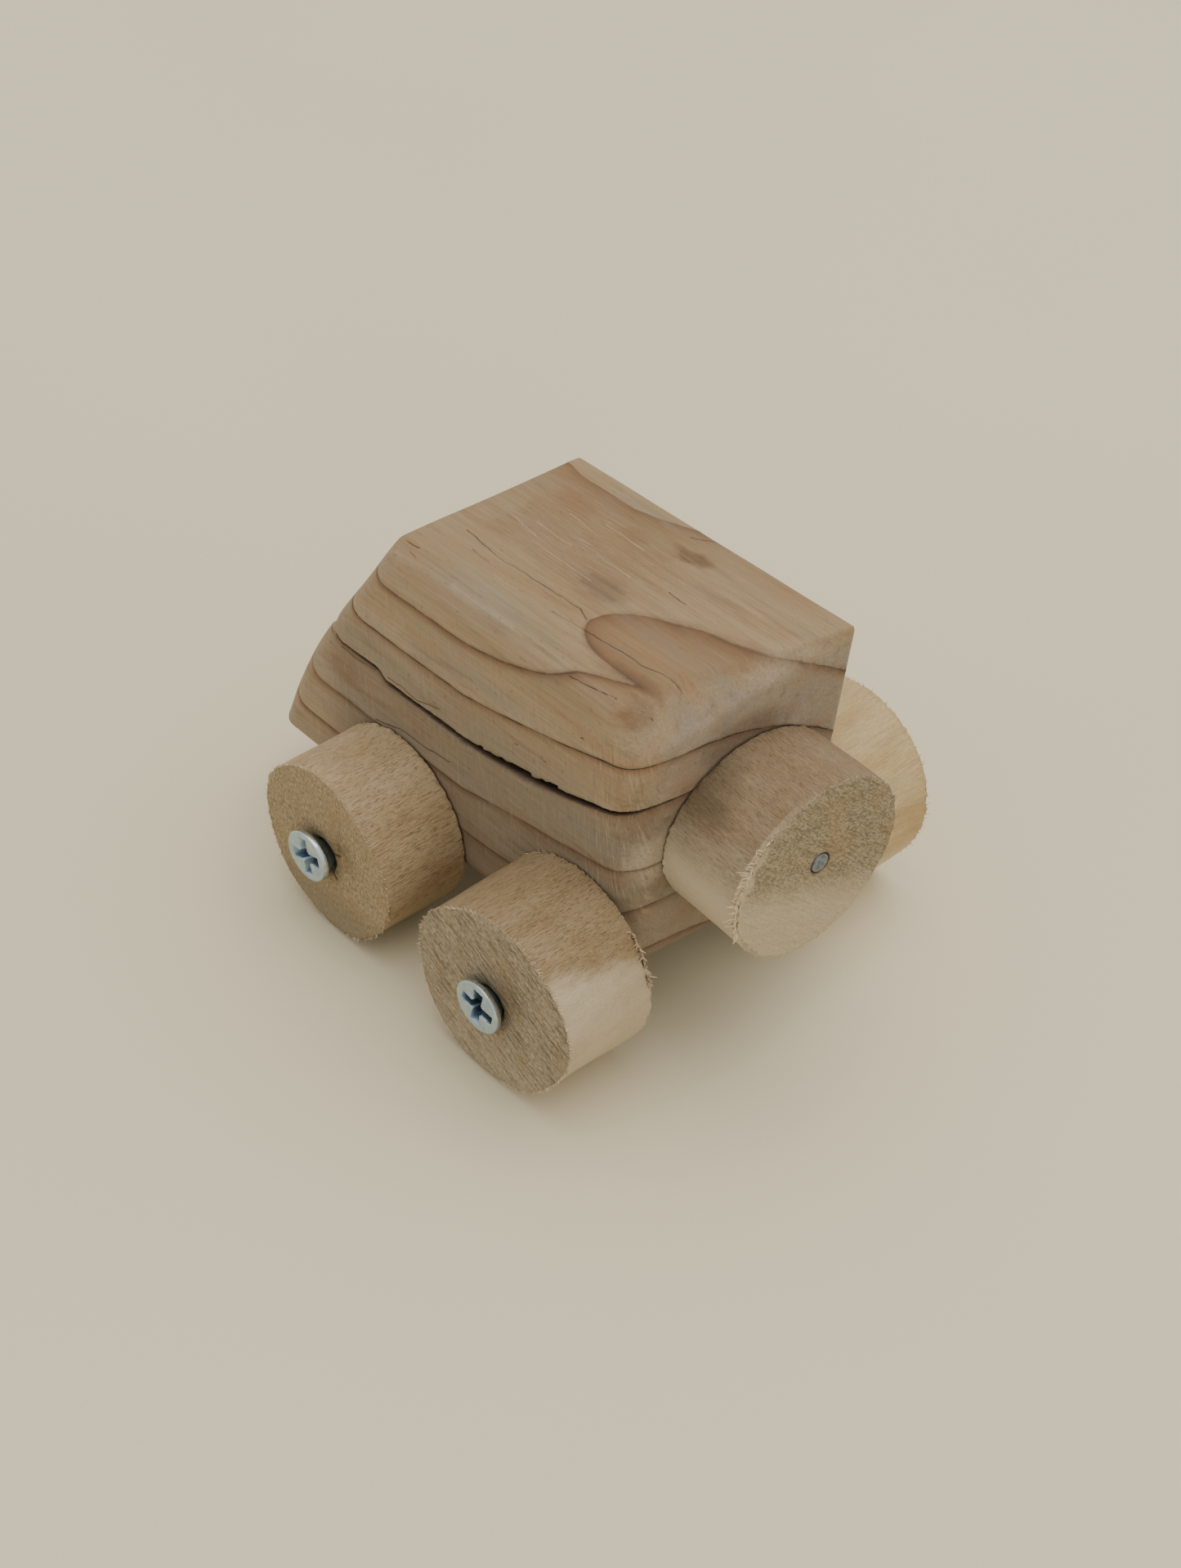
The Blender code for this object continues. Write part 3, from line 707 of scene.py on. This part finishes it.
def zinc_material():
    g = Graph("screw_zinc_look")
    at = g.place()
    lip = g.attribute("lip")
    cloud = g.noise(at, (1.6, 1.6, 1.6), 4.0, 0.6)
    tone = g.wash(rgb(186, 204, 214), (166, 188, 202), g.span(cloud, 0.3, 0.7))
    tone = g.wash(tone, (208, 220, 227), lip)
    # painted shade in the cross recess
    tone = g.wash(tone, (72, 92, 114), g.attribute("recess_shade"))
    fine = g.noise(at, (0.3, 0.3, 0.3), 3.0, 0.6)
    rough = g.math("SUBTRACT", g.span(cloud, 0.3, 0.7, 0.34, 0.48), g.times(lip, 0.14))
    return g.finish(tone, rough, g.bump(fine, 0.03, 0.5), metallic=1.0, specular=0.5)


def steel_material():
    g = Graph("nail_steel_look")
    cloud = g.noise(g.place(), (0.7, 0.7, 0.7), 4.0, 0.6)
    tone = g.wash(rgb(136, 143, 150), (104, 110, 118), g.span(cloud, 0.35, 0.7))
    return g.finish(tone, g.span(cloud, 0.3, 0.7, 0.42, 0.58), g.bump(cloud, 0.04, 0.5), metallic=0.9)


# ------ dowel slices
SLICE_STEPS = 352
CHAMFER = 0.30
FRAY = 0.20
SAW_DEPTH = 0.05


def slice_profile(radius, width, bore, flare):
    """(radius, along, on an end face) rows around a bored slice, as a closed loop."""
    c = CHAMFER
    rows = [(r, 0.0, 1.0) for r in np.linspace(bore, radius - c, 14)]
    rows += [(radius - c * 0.30, c * 0.22, 0.5), (radius, c, 0.0)]
    count = int((width - 2 * c) / 0.33)
    rows += [(radius, a, 0.0) for a in np.linspace(c, width - c, count)[1:]]
    rows += [(radius - c * 0.25, width - c * 0.25, 0.5)]
    rows += [(r, width, 1.0) for r in np.linspace(radius - c, bore + flare, int((radius - bore) / 0.34))]
    rows += [(bore, width - 1.3 * flare - 0.02, 1.0)]
    rows += [(bore, width * s, 1.0) for s in (0.8, 0.5, 0.1)]
    return rows


def make_slice(name, axes, foot, radius, width, seed, material, waves, bore, flare, saw_turn,
               ragged=(), inner_plane=None, bore_at=(0.0, 0.0)):
    """One slice. axes are its own axis away from the block, across and up; foot is the middle of
    its inner face. The slice is round at the block and takes up its waves towards the outer face.
    ragged gives (from, to, at the inner rim, size) of chewed arcs, and inner_plane the normal of
    an inner face that isn't square to the axis."""
    out, across, up = axes
    rows = slice_profile(radius, width, bore, flare)
    plain, a, face, theta = around(rows, SLICE_STEPS)
    swell = sum(size * np.cos(count * theta - phase) for count, size, phase in waves)
    share = (plain - bore) / (radius - bore)
    r = plain + swell * smooth01(share) * smooth01(a / width * 1.15)
    hold = 1.0 - smooth01(share * 1.2)
    y, z = r * np.cos(theta) + bore_at[0] * hold, r * np.sin(theta) + bore_at[1] * hold
    local = np.stack([a, y, z], -1)
    # unevenness of the turned or sanded side
    dent = 0.07 * noise(local, (7, 4.5, 4.5), seed) + 0.03 * noise(local, (2.5, 0.9, 0.9), seed + 1)
    rim = np.exp(-((plain - radius) ** 2) / 0.35) * (np.minimum(a, width - a) < 0.6)
    section = local * (0, 1, 1)
    torn = noise(section, (1, 0.55, 0.55), seed + 2) * FRAY
    torn = torn + noise(section, (1, 1.5, 1.5), seed + 3) * FRAY * 0.8
    for start, end, inner, size in ragged:
        near = smooth01((theta - start) / 0.12) * smooth01((end - theta) / 0.12)
        on = (a < 0.9) if inner else (a > width - 0.9)
        torn = torn + near * on * size * (noise(section, (1, 0.45, 0.45), seed + 4) - 0.3)
    push = dent * np.maximum(1.0 - face, 0.3) + torn * rim
    push = np.where(share > 0.2, push, 0.0)
    y += push * np.cos(theta)
    z += push * np.sin(theta)
    # saw lines and roughness on the two ends
    turned = np.cos(saw_turn) * z + np.sin(saw_turn) * y
    cut_lines = noise(np.stack([turned, 0 * turned, 0 * a], -1), (0.85, 1, 1), seed + 5)
    rough = noise(local, (3, 0.9, 0.9), seed + 6) * 0.05 + noise(local, (3, 4, 4), seed + 7) * 0.09
    sign = np.where(a > width / 2.0, 1.0, -0.3)
    shift = face * sign * (SAW_DEPTH * cut_lines + rough) * smooth01((r - bore) / 0.8)
    if inner_plane is not None:
        lean = -(y * (across @ inner_plane) + z * (up @ inner_plane)) / (out @ inner_plane)
        shift = shift + lean * (1.0 - a / width)
    local = np.stack([a, y, z], -1).reshape(-1, 3)
    along = (a + shift).reshape(-1, 1)
    points = foot + along * out + local[:, 1:2] * across + local[:, 2:3] * up
    quads = ring_quads(len(rows), SLICE_STEPS)
    if np.cross(out, across) @ up < 0:
        quads = quads[:, ::-1]
    obj = new_object(name, points, quads, material)
    store(obj, "loc", local)
    store(obj, "face", face.ravel())
    return obj, local, theta.ravel()


def paint(obj, **tones):
    """Store the shares of a slice's pale, pale_end, darkening and warm tones; the pale ones are partly
    painted light.
    """
    for label, values in tones.items():
        store(obj, label, np.clip(values + np.zeros(len(obj.data.vertices)), 0.0, 1.0))


def picks(cell, seed, count):
    """A few repeatable values for one cell."""
    return np.array([noise(np.array([cell]), (1, 1, 1), seed + k)[0] for k in range(count)])


def make_fibres(name, fibres, seed, material):
    """Torn wood fibres: thin bent three-sided spikes, from (root, way, length, width) of each."""
    points, faces = [], []
    for i, (root, way, length, width) in enumerate(fibres):
        way = unit(way)
        bend = picks((i * 1.7, i * 0.9, seed), seed, 3)
        side = unit(np.cross(way, bend + [0.01, 0.02, 0.03]))
        other = np.cross(way, side)
        base = len(points)
        for level in range(4):
            t = level / 3.0
            centre = root + way * length * t + bend * length * 0.45 * t * t
            radius = width * (1.0 - 0.85 * t) * 0.5
            for turn in (0.0, 2.0 * math.pi / 3.0, 4.0 * math.pi / 3.0):
                points.append(centre + radius * (math.cos(turn) * side + math.sin(turn) * other * 0.6))
        for level in range(3):
            for corner in range(3):
                a, b = base + level * 3 + corner, base + level * 3 + (corner + 1) % 3
                faces.append((a, b, b + 3, a + 3))
        faces += [(base + 9, base + 10, base + 11), (base + 2, base + 1, base)]
    return new_object(name, points, faces, material, smooth=False)


def rim_fibres(name, axes, foot, radius, waves, along, arcs, seed, material):
    """Fibres round a slice's rim. arcs: (start, end, count, length, width, outward share)."""
    out, across, up = axes
    sink = 0.12 if along > 0 else -0.12
    lowest = 1.2
    fibres = []
    for n, (start, end, count, length, width, outward) in enumerate(arcs):
        for i in range(count):
            pick = picks((i * 1.31, n * 5.7, seed * 0.37), seed + 20, 5)
            theta = start + (end - start) * (i + 0.5 + 0.9 * pick[0]) / count
            radial = math.cos(theta) * across + math.sin(theta) * up
            tangent = -math.sin(theta) * across + math.cos(theta) * up
            r = radius + sum(size * math.cos(k * theta - phase) for k, size, phase in waves)
            root = foot + out * (along - sink) + radial * (r - 0.18)
            if root[2] < lowest:
                continue
            way = radial * (0.75 + 0.35 * pick[1]) + tangent * 0.7 * pick[2] + out * (outward + 0.5 * pick[3])
            fibres.append((root, way, length * (0.55 + 0.6 * abs(pick[4]) + 0.35 * abs(pick[1])),
                           width * (0.7 + 0.5 * abs(pick[0]))))
    return make_fibres(name, fibres, seed, material)


# ------ screws and nail
def make_screw(name, side, centre, head_x, turn_deg, shift, material):
    """Flat head with a cross recess, cone and shank. centre is (y, z) of the axle; shift is how
    far the head sits off it on a slightly bent shank."""
    steps = 264
    rows = [(r, 0.0) for r in np.linspace(0.05, 4.34, 72)]
    rows += [(4.44, 0.03), (4.51, 0.10), (4.54, 0.22), (4.54, 0.48), (4.53, 0.80), (4.44, 0.98), (4.26, 1.08)]
    rows += [(r, 1.12 + (4.1 - r) / math.tan(math.radians(47.0))) for r in (3.9, 3.5, 3.1, 2.7, 2.3)]
    rows += [(2.0, 3.5), (2.0, 10.5), (1.8, 27.0), (0.6, 31.0)]
    r, plain, t = around(rows, steps)
    y, z = r * np.cos(t), r * np.sin(t)
    own = math.radians(turn_deg)
    p, q = np.cos(own) * y + np.sin(own) * z, -np.sin(own) * y + np.cos(own) * z
    flat = np.stack([p, q, 0 * p], -1)
    sunk = np.zeros_like(r)
    for along, over in ((np.abs(p), np.abs(q)), (np.abs(q), np.abs(p))):
        # the wings widen a little towards their ends, where the driver has slipped
        arm = np.minimum((3.45 - along) / 0.8, (0.74 + 0.08 * along - over) / 0.20)
        sunk = np.maximum(sunk, np.clip(arm, 0.0, 1.0))
    sunk = np.maximum(sunk, np.clip((1.45 - r) / 0.5, 0.0, 1.0))
    diagonal = np.minimum(np.abs(p - q), np.abs(p + q)) / math.sqrt(2.0)
    ticks = np.clip(1.0 - diagonal / 0.13, 0.0, 1.0) * ((r > 1.5) & (r < 2.5))
    burr = 0.05 * noise(flat, (0.5, 0.5, 1), 31) * (sunk > 0.01)
    wear = 0.012 * noise(flat, (1.3, 1.3, 1), 33)
    front = plain < 0.01
    depth = plain + front * (1.9 * smooth01(sunk) + 0.10 * ticks + burr + wear)
    settle = 1.0 - smooth01(depth / 3.4)
    points = np.stack([head_x - side * depth, centre[0] + y + shift[0] * settle,
                       centre[1] + z + shift[1] * settle], -1).reshape(-1, 3)
    obj = new_object(name, points, capped_faces(len(rows), steps, side < 0), material, sharp=50.0)
    # share of painted shade in the cross recess
    store(obj, "recess_shade", (front * np.clip(sunk * 1.2, 0.0, 1.0)).ravel())
    store(obj, "lip", ((plain >= 0.15) & (plain < 1.1)).ravel())
    return obj


def make_nail(name, axes, foot, material):
    """Flat hammered head and round shank."""
    out, across, up = axes
    steps = 96
    rows = [(r, 0.0) for r in np.linspace(0.04, 1.5, 16)]
    rows += [(1.56, 0.05), (1.62, 0.2), (1.62, 0.8), (1.2, 1.2), (1.2, 34.5), (0.3, 37.6)]
    r, depth, t = around(rows, steps)
    y, z = r * np.cos(t), r * np.sin(t)
    hammer = 0.03 * noise(np.stack([y, z, 0 * y], -1), (0.9, 0.9, 1), 41)
    hammer = hammer + 0.09 * np.exp(-((y + 0.35) ** 2 + (z + 0.2) ** 2) / 0.12)
    depth = depth + (depth < 0.01) * hammer
    points = foot - depth[..., None] * out + y[..., None] * across + z[..., None] * up
    faces = capped_faces(len(rows), steps, np.cross(across, up) @ out < 0)
    return new_object(name, points.reshape(-1, 3), faces, material, sharp=50.0)


# ------ the car
FLAT = math.cos(math.pi / 64)          # a CAD wheel is a 64-sided prism of this share in height
WHEELS = {
    # seed of the noise, how far the head is pressed in, turn of its cross, its place off the axle
    "front_left": (110, 0.4, 13.0, (-1.55, -0.2)),
    "rear_left": (120, 0.0, -7.0, (-0.4, 0.15)),
    "front_right": (130, 0.0, 12.0, (0.2, 0.3)),
    "rear_right": (140, 0.0, 55.0, (-0.2, 0.4)),
}
LOOKS = {
    "front_left": dict(side=(194, 171, 135), end=(174, 155, 120), pale=(200, 182, 150),
                       saw_turn=1.2, saw=0.12),
    "rear_left": dict(side=(180, 158, 126), end=(174, 160, 134), pale=(206, 189, 158),
                      saw_turn=0.52, saw=0.62),
    "front_right": dict(side=(180, 156, 122), end=(174, 154, 124), pale=(200, 182, 150),
                        saw_turn=2.0, saw=0.3),
    "rear_right": dict(side=(212, 186, 140), end=(186, 166, 132), pale=(224, 208, 178),
                       saw_turn=0.9, saw=0.3, dashes=0.14, soiled=0.10),
    "spare": dict(side=(174, 160, 137), end=(166, 150, 121), pale=(208, 191, 160),
                  saw_turn=0.75, saw=0.34, dashes=0.42, soiled=0.25, warm_tone=(0.74, 0.66, 0.57)),
}
# (waves, size, phase) of each outer rim
WAVES = {
    "front_left": ((0, -0.35, 0.0), (1, 0.54, 0.79), (2, 0.40, -1.67), (3, 0.18, -0.25), (4, 0.11, -0.12),
                   (5, 0.21, 0.68)),
    "rear_left": ((0, 0.30, 0.0), (1, 0.79, 1.10), (2, 0.83, 1.34), (3, 0.16, 1.29), (5, 0.22, 1.19)),
    "front_right": ((2, 0.25, 1.9), (3, 0.18, 0.4)),
    "rear_right": ((0, 0.15, 0.0), (1, 0.35, 1.57), (2, 0.30, 3.1), (3, 0.15, 2.0)),
    "spare": ((2, 0.18, 0.6), (3, 0.14, 1.9), (4, 0.07, 0.3)),
}
# two short splits that start at the front left screw: (y, z) from the axle
WHEEL_SPLITS = (((1.4, 1.3), (4.3, 2.45)), ((1.3, -1.1), (3.1, -3.3)))


def patch(y, z, centre, size):
    """1 at the centre of a dark patch, fading over its size."""
    return np.exp(-((y - centre[0]) / size[0]) ** 2 - ((z - centre[1]) / size[1]) ** 2)


def wheel_tones(name, local, theta, width):
    """Shares of the pale, pale end, darkening and warm tones at a wheel's points; the pale share is partly
    painted light.
    """
    along, y, z = local.T
    outside = along > width / 2
    # paler towards the bottom, on the side and the ends: partly paler wood, partly painted light bounced up
    # from the floor
    pale = (0.80 if name == "rear_right" else 0.30) * smooth01((-z - 2.0) / 8.0)
    pale_end = 0.5 * smooth01((-z - 4.0) / 9.0)
    darkening = np.exp(-((np.hypot(y, z) - 3.4) / 1.4) ** 2) * outside * 0.42
    warm = 0.0
    if name == "rear_left":
        # the lower half was turned clean, the upper half is still rough
        turned = np.angle(np.exp(1j * theta))
        edge = 0.66 + 0.30 * along / width + 0.05 * noise(local, (5, 3, 3), 61)
        edge = edge + 0.04 * noise(local, (1.6, 0.5, 0.5), 62)
        pale = smooth01((edge - turned) / 0.24) * smooth01((turned + 2.2) / 0.3)
        pale = pale * (0.70 + 0.10 * noise(local, (4, 1.2, 1.2), 66))
        pale_end = pale_end * 0.5
        darkening = np.maximum(darkening, patch(y, z, (3.5, 5.0), (4.5, 4.0)) * outside * 0.42)
        warm = 0.68 * smooth01((z + 2.0) / 6.0)
    if name == "front_left":
        # a darker patch behind and above the screw head
        dark_patch = patch(y, z, (4.6, 3.6), (2.8, 3.6)) * outside
        darkening = np.maximum(darkening, dark_patch * (0.45 + 0.35 * noise(local, (3, 0.7, 0.7), 65)))
        # darker towards the bottom, a little more on the outer face
        low = 0.28 + 0.12 * (along > width - 0.4)
        darkening = np.maximum(darkening, low * smooth01((-z - 4.0) / 7.0))
        for start, end in WHEEL_SPLITS:
            (y0, z0), (run, rise) = start, np.subtract(end, start)
            t = np.clip(((y - y0) * run + (z - z0) * rise) / (run ** 2 + rise ** 2), 0.0, 1.0)
            gap = np.hypot(y - y0 - t * run, z - z0 - t * rise)
            darkening = np.maximum(darkening, 0.95 * smooth01((0.50 - gap) / 0.40) * outside)
    return dict(pale=pale, pale_end=pale_end, darkening=darkening, warm=warm)


def make_wheel(name, fibre_look):
    """A wheel on its corner of the block, its screw and the torn fibres of its two rims."""
    seed, pressed, turn_deg, shift = WHEELS[name]
    low, high = node_box("wheel_" + name)
    side = 1 if high[0] > X_LEFT else -1
    width, height = (high - low)[[0, 2]]
    radius = height / 2 / FLAT
    _, axle_y, axle_z = (low + high) / 2
    foot = np.array([low[0] if side > 0 else high[0], axle_y, axle_z])
    axes = np.array([(side, 0.0, 0.0), (0.0, 1.0, 0.0), (0.0, 0.0, 1.0)])
    look, body = LOOKS[name], name + "_wheel"
    wheel, local, theta = make_slice(
        "slice_" + name, axes, foot, radius, width, seed, slice_material("wheel_wood_" + name, **look),
        WAVES[name], bore=2.4, flare=0.9, saw_turn=look["saw_turn"],
        ragged=((0.15, 0.85, True, 1.8),) if name == "rear_left" else ())
    paint(wheel, **wheel_tones(name, local, theta, width))
    attach(wheel, body, "wheel_wood", "wheel_" + name)
    screw_low, screw_high = node_box("screw_" + name)
    head_x = (screw_high[0] if side > 0 else screw_low[0]) - side * pressed
    screw = make_screw("zinc_screw_" + name, side, (axle_y, axle_z), head_x, turn_deg, shift,
                       zinc_material())
    attach(screw, "car", "screw_zinc", "screw_" + name)
    outer_arcs = [(-0.9, 5.3, 230, 0.66, 0.24, 0.2)]
    inner_arcs = [(-0.7, 3.6, 120, 0.50, 0.24, 0.5)]
    if name == "rear_left":
        outer_arcs.append((0.2, 1.3, 60, 0.75, 0.34, -0.5))
        inner_arcs.append((0.22, 0.80, 50, 1.15, 0.50, 0.4))
    for label, waves, along, arcs, own in (("torn_rim_", WAVES[name], width, outer_arcs, seed + 60),
                                           ("torn_inner_rim_", (), 0.0, inner_arcs, seed + 80)):
        fuzz = rim_fibres(label + name, axes, foot, radius, waves, along, arcs, own, fibre_look)
        attach(fuzz, body, "wheel_wood")


SPARE_AXIS = unit([0.067, 1.0, -0.006])
SPARE_RADIUS, SPARE_WIDTH = 15.75, 15.3
SPARE_AT = (0.1, 38.6)                  # x and z of its middle on the rear face
NAIL_AT = (0.4, 0.9)                    # across and up from the spare's own axis


def spare_tones(local, theta):
    """Shares of the pale, pale end, darkening and warm tones at the spare's points; the pale share is partly
    painted light.
    """
    along, y, z = local.T
    frayed = np.exp(-((theta - 3.0) / 0.75) ** 2) * (along > SPARE_WIDTH - 0.8)
    frayed = frayed * smooth01((np.hypot(y, z) - 13.2 + noise(local, (1, 1.2, 1.2), 63)) / 1.6)
    # paler low down and towards the car's left: partly paler wood, partly painted light; the frayed rim is
    # paler wood
    pale = np.maximum(smooth01((-z + 0.5 - 0.4 * y) / 9.0) * 0.80, frayed * 0.85)
    smudge = smooth01((9.0 - along + 3.0 * noise(local, (3, 2, 2), 64)) / 6.0) * 0.5
    smudge = smudge * np.exp(-((theta - 2.35) / 0.42) ** 2) * (along < SPARE_WIDTH - 0.5)
    from_nail = np.hypot(y - NAIL_AT[0], z - NAIL_AT[1])
    ring = np.exp(-((from_nail - 1.84) / 0.20) ** 2) * (along > SPARE_WIDTH / 2)
    return dict(pale=pale, pale_end=pale, darkening=np.maximum(smudge, ring * 0.9),
                warm=smooth01((z - 4.0) / 8.0))


def make_spare(fibre_look):
    """The spare wheel on the rear face, its torn rim and its nail."""
    across = unit(np.cross((0.0, 0.0, 1.0), SPARE_AXIS))
    axes = np.array([SPARE_AXIS, across, np.cross(SPARE_AXIS, across)])
    x, z = SPARE_AT
    foot = np.array([x, rear_y(x, z), z]) + SPARE_AXIS * 0.3
    spare, local, theta = make_slice(
        "slice_spare", axes, foot, SPARE_RADIUS, SPARE_WIDTH, 150,
        slice_material("spare_wood_look", **LOOKS["spare"]), WAVES["spare"], bore=1.76, flare=0.03,
        saw_turn=0.5, ragged=((2.2, 4.0, False, 0.7),), inner_plane=-REAR[0], bore_at=NAIL_AT)
    paint(spare, **spare_tones(local, theta))
    attach(spare, "car", "spare_wood", "spare_wheel")
    arcs = ((0.0, 6.28, 150, 0.42, 0.20, 0.0), (2.3, 3.5, 60, 1.30, 0.50, 0.5),
            (2.4, 3.4, 26, 1.7, 0.60, -0.3))
    fuzz = rim_fibres("torn_rim_spare", axes, foot, SPARE_RADIUS, WAVES["spare"], SPARE_WIDTH, arcs,
                      251, fibre_look)
    attach(fuzz, "car", "spare_wood")
    head = foot + np.array([SPARE_WIDTH + 0.1, *NAIL_AT]) @ axes
    attach(make_nail("steel_nail", axes, head, steel_material()), "car", "nail_steel", "spare_nail")


# ------ floor, light, camera
def make_floor():
    g = Graph("plain_floor")
    cloud = g.noise(g.place(), (250, 250, 250))
    tone = g.wash(rgb(224, 213, 182), (220, 209, 178), g.span(cloud, 0.3, 0.7))
    bm = bmesh.new()
    bmesh.ops.create_grid(bm, x_segments=8, y_segments=8, size=3.0)
    mesh = bpy.data.meshes.new("floor")
    bm.to_mesh(mesh)
    bm.free()
    mesh.materials.append(g.finish(tone, 0.55, specular=0.25))
    floor = add("floor", mesh)
    floor.location.z = -0.1 * MM


def make_light(place, aim, size, power):
    data = bpy.data.lights.new("overhead", "AREA")
    data.size = size
    data.energy = power
    data.color = (1.0, 0.97, 0.92)
    light = add("overhead", data)
    light.location = place
    light.rotation_euler = (Vector(aim) - Vector(place)).to_track_quat("-Z", "Y").to_euler()


def make_sky(strength):
    world = bpy.data.worlds.new("studio")
    world.use_nodes = True
    back = world.node_tree.nodes["Background"]
    back.inputs[0].default_value = (1.0, 0.99, 0.965, 1.0)
    back.inputs[1].default_value = strength
    bpy.context.scene.world = world


def make_camera(place, azimuth, height, roll, lens):
    """A camera at a place in metres; the angles, in degrees, say where it stands and its roll."""
    azimuth, height, roll = (math.radians(angle) for angle in (azimuth, height, roll))
    back = Vector((math.sin(azimuth) * math.cos(height), -math.cos(azimuth) * math.cos(height),
                   math.sin(height)))
    level = Vector((0, 0, 1)).cross(back).normalized()
    upright = back.cross(level)
    right = level * math.cos(roll) + upright * math.sin(roll)
    up = upright * math.cos(roll) - level * math.sin(roll)
    data = bpy.data.cameras.new("camera")
    data.lens = lens
    data.sensor_width = 36.0
    data.clip_start = 0.01
    camera = add("camera", data)
    camera.matrix_world = Matrix.Translation(place) @ Matrix((right, up, back)).transposed().to_4x4()
    bpy.context.scene.camera = camera


attach(make_block(block_material()), "car", "block_wood", "body_block")
torn_look = splinter_material()
for corner in WHEELS:
    make_wheel(corner, torn_look)
make_spare(torn_look)
make_floor()
make_sky(0.90)
make_light((-0.35, 0.10, 1.5), (0.0, 0.0, 0.02), 1.6, 14.8)
make_camera((0.19202, 0.19364, 0.26002), azimuth=134.858, height=41.302, roll=2.825, lens=51.315)
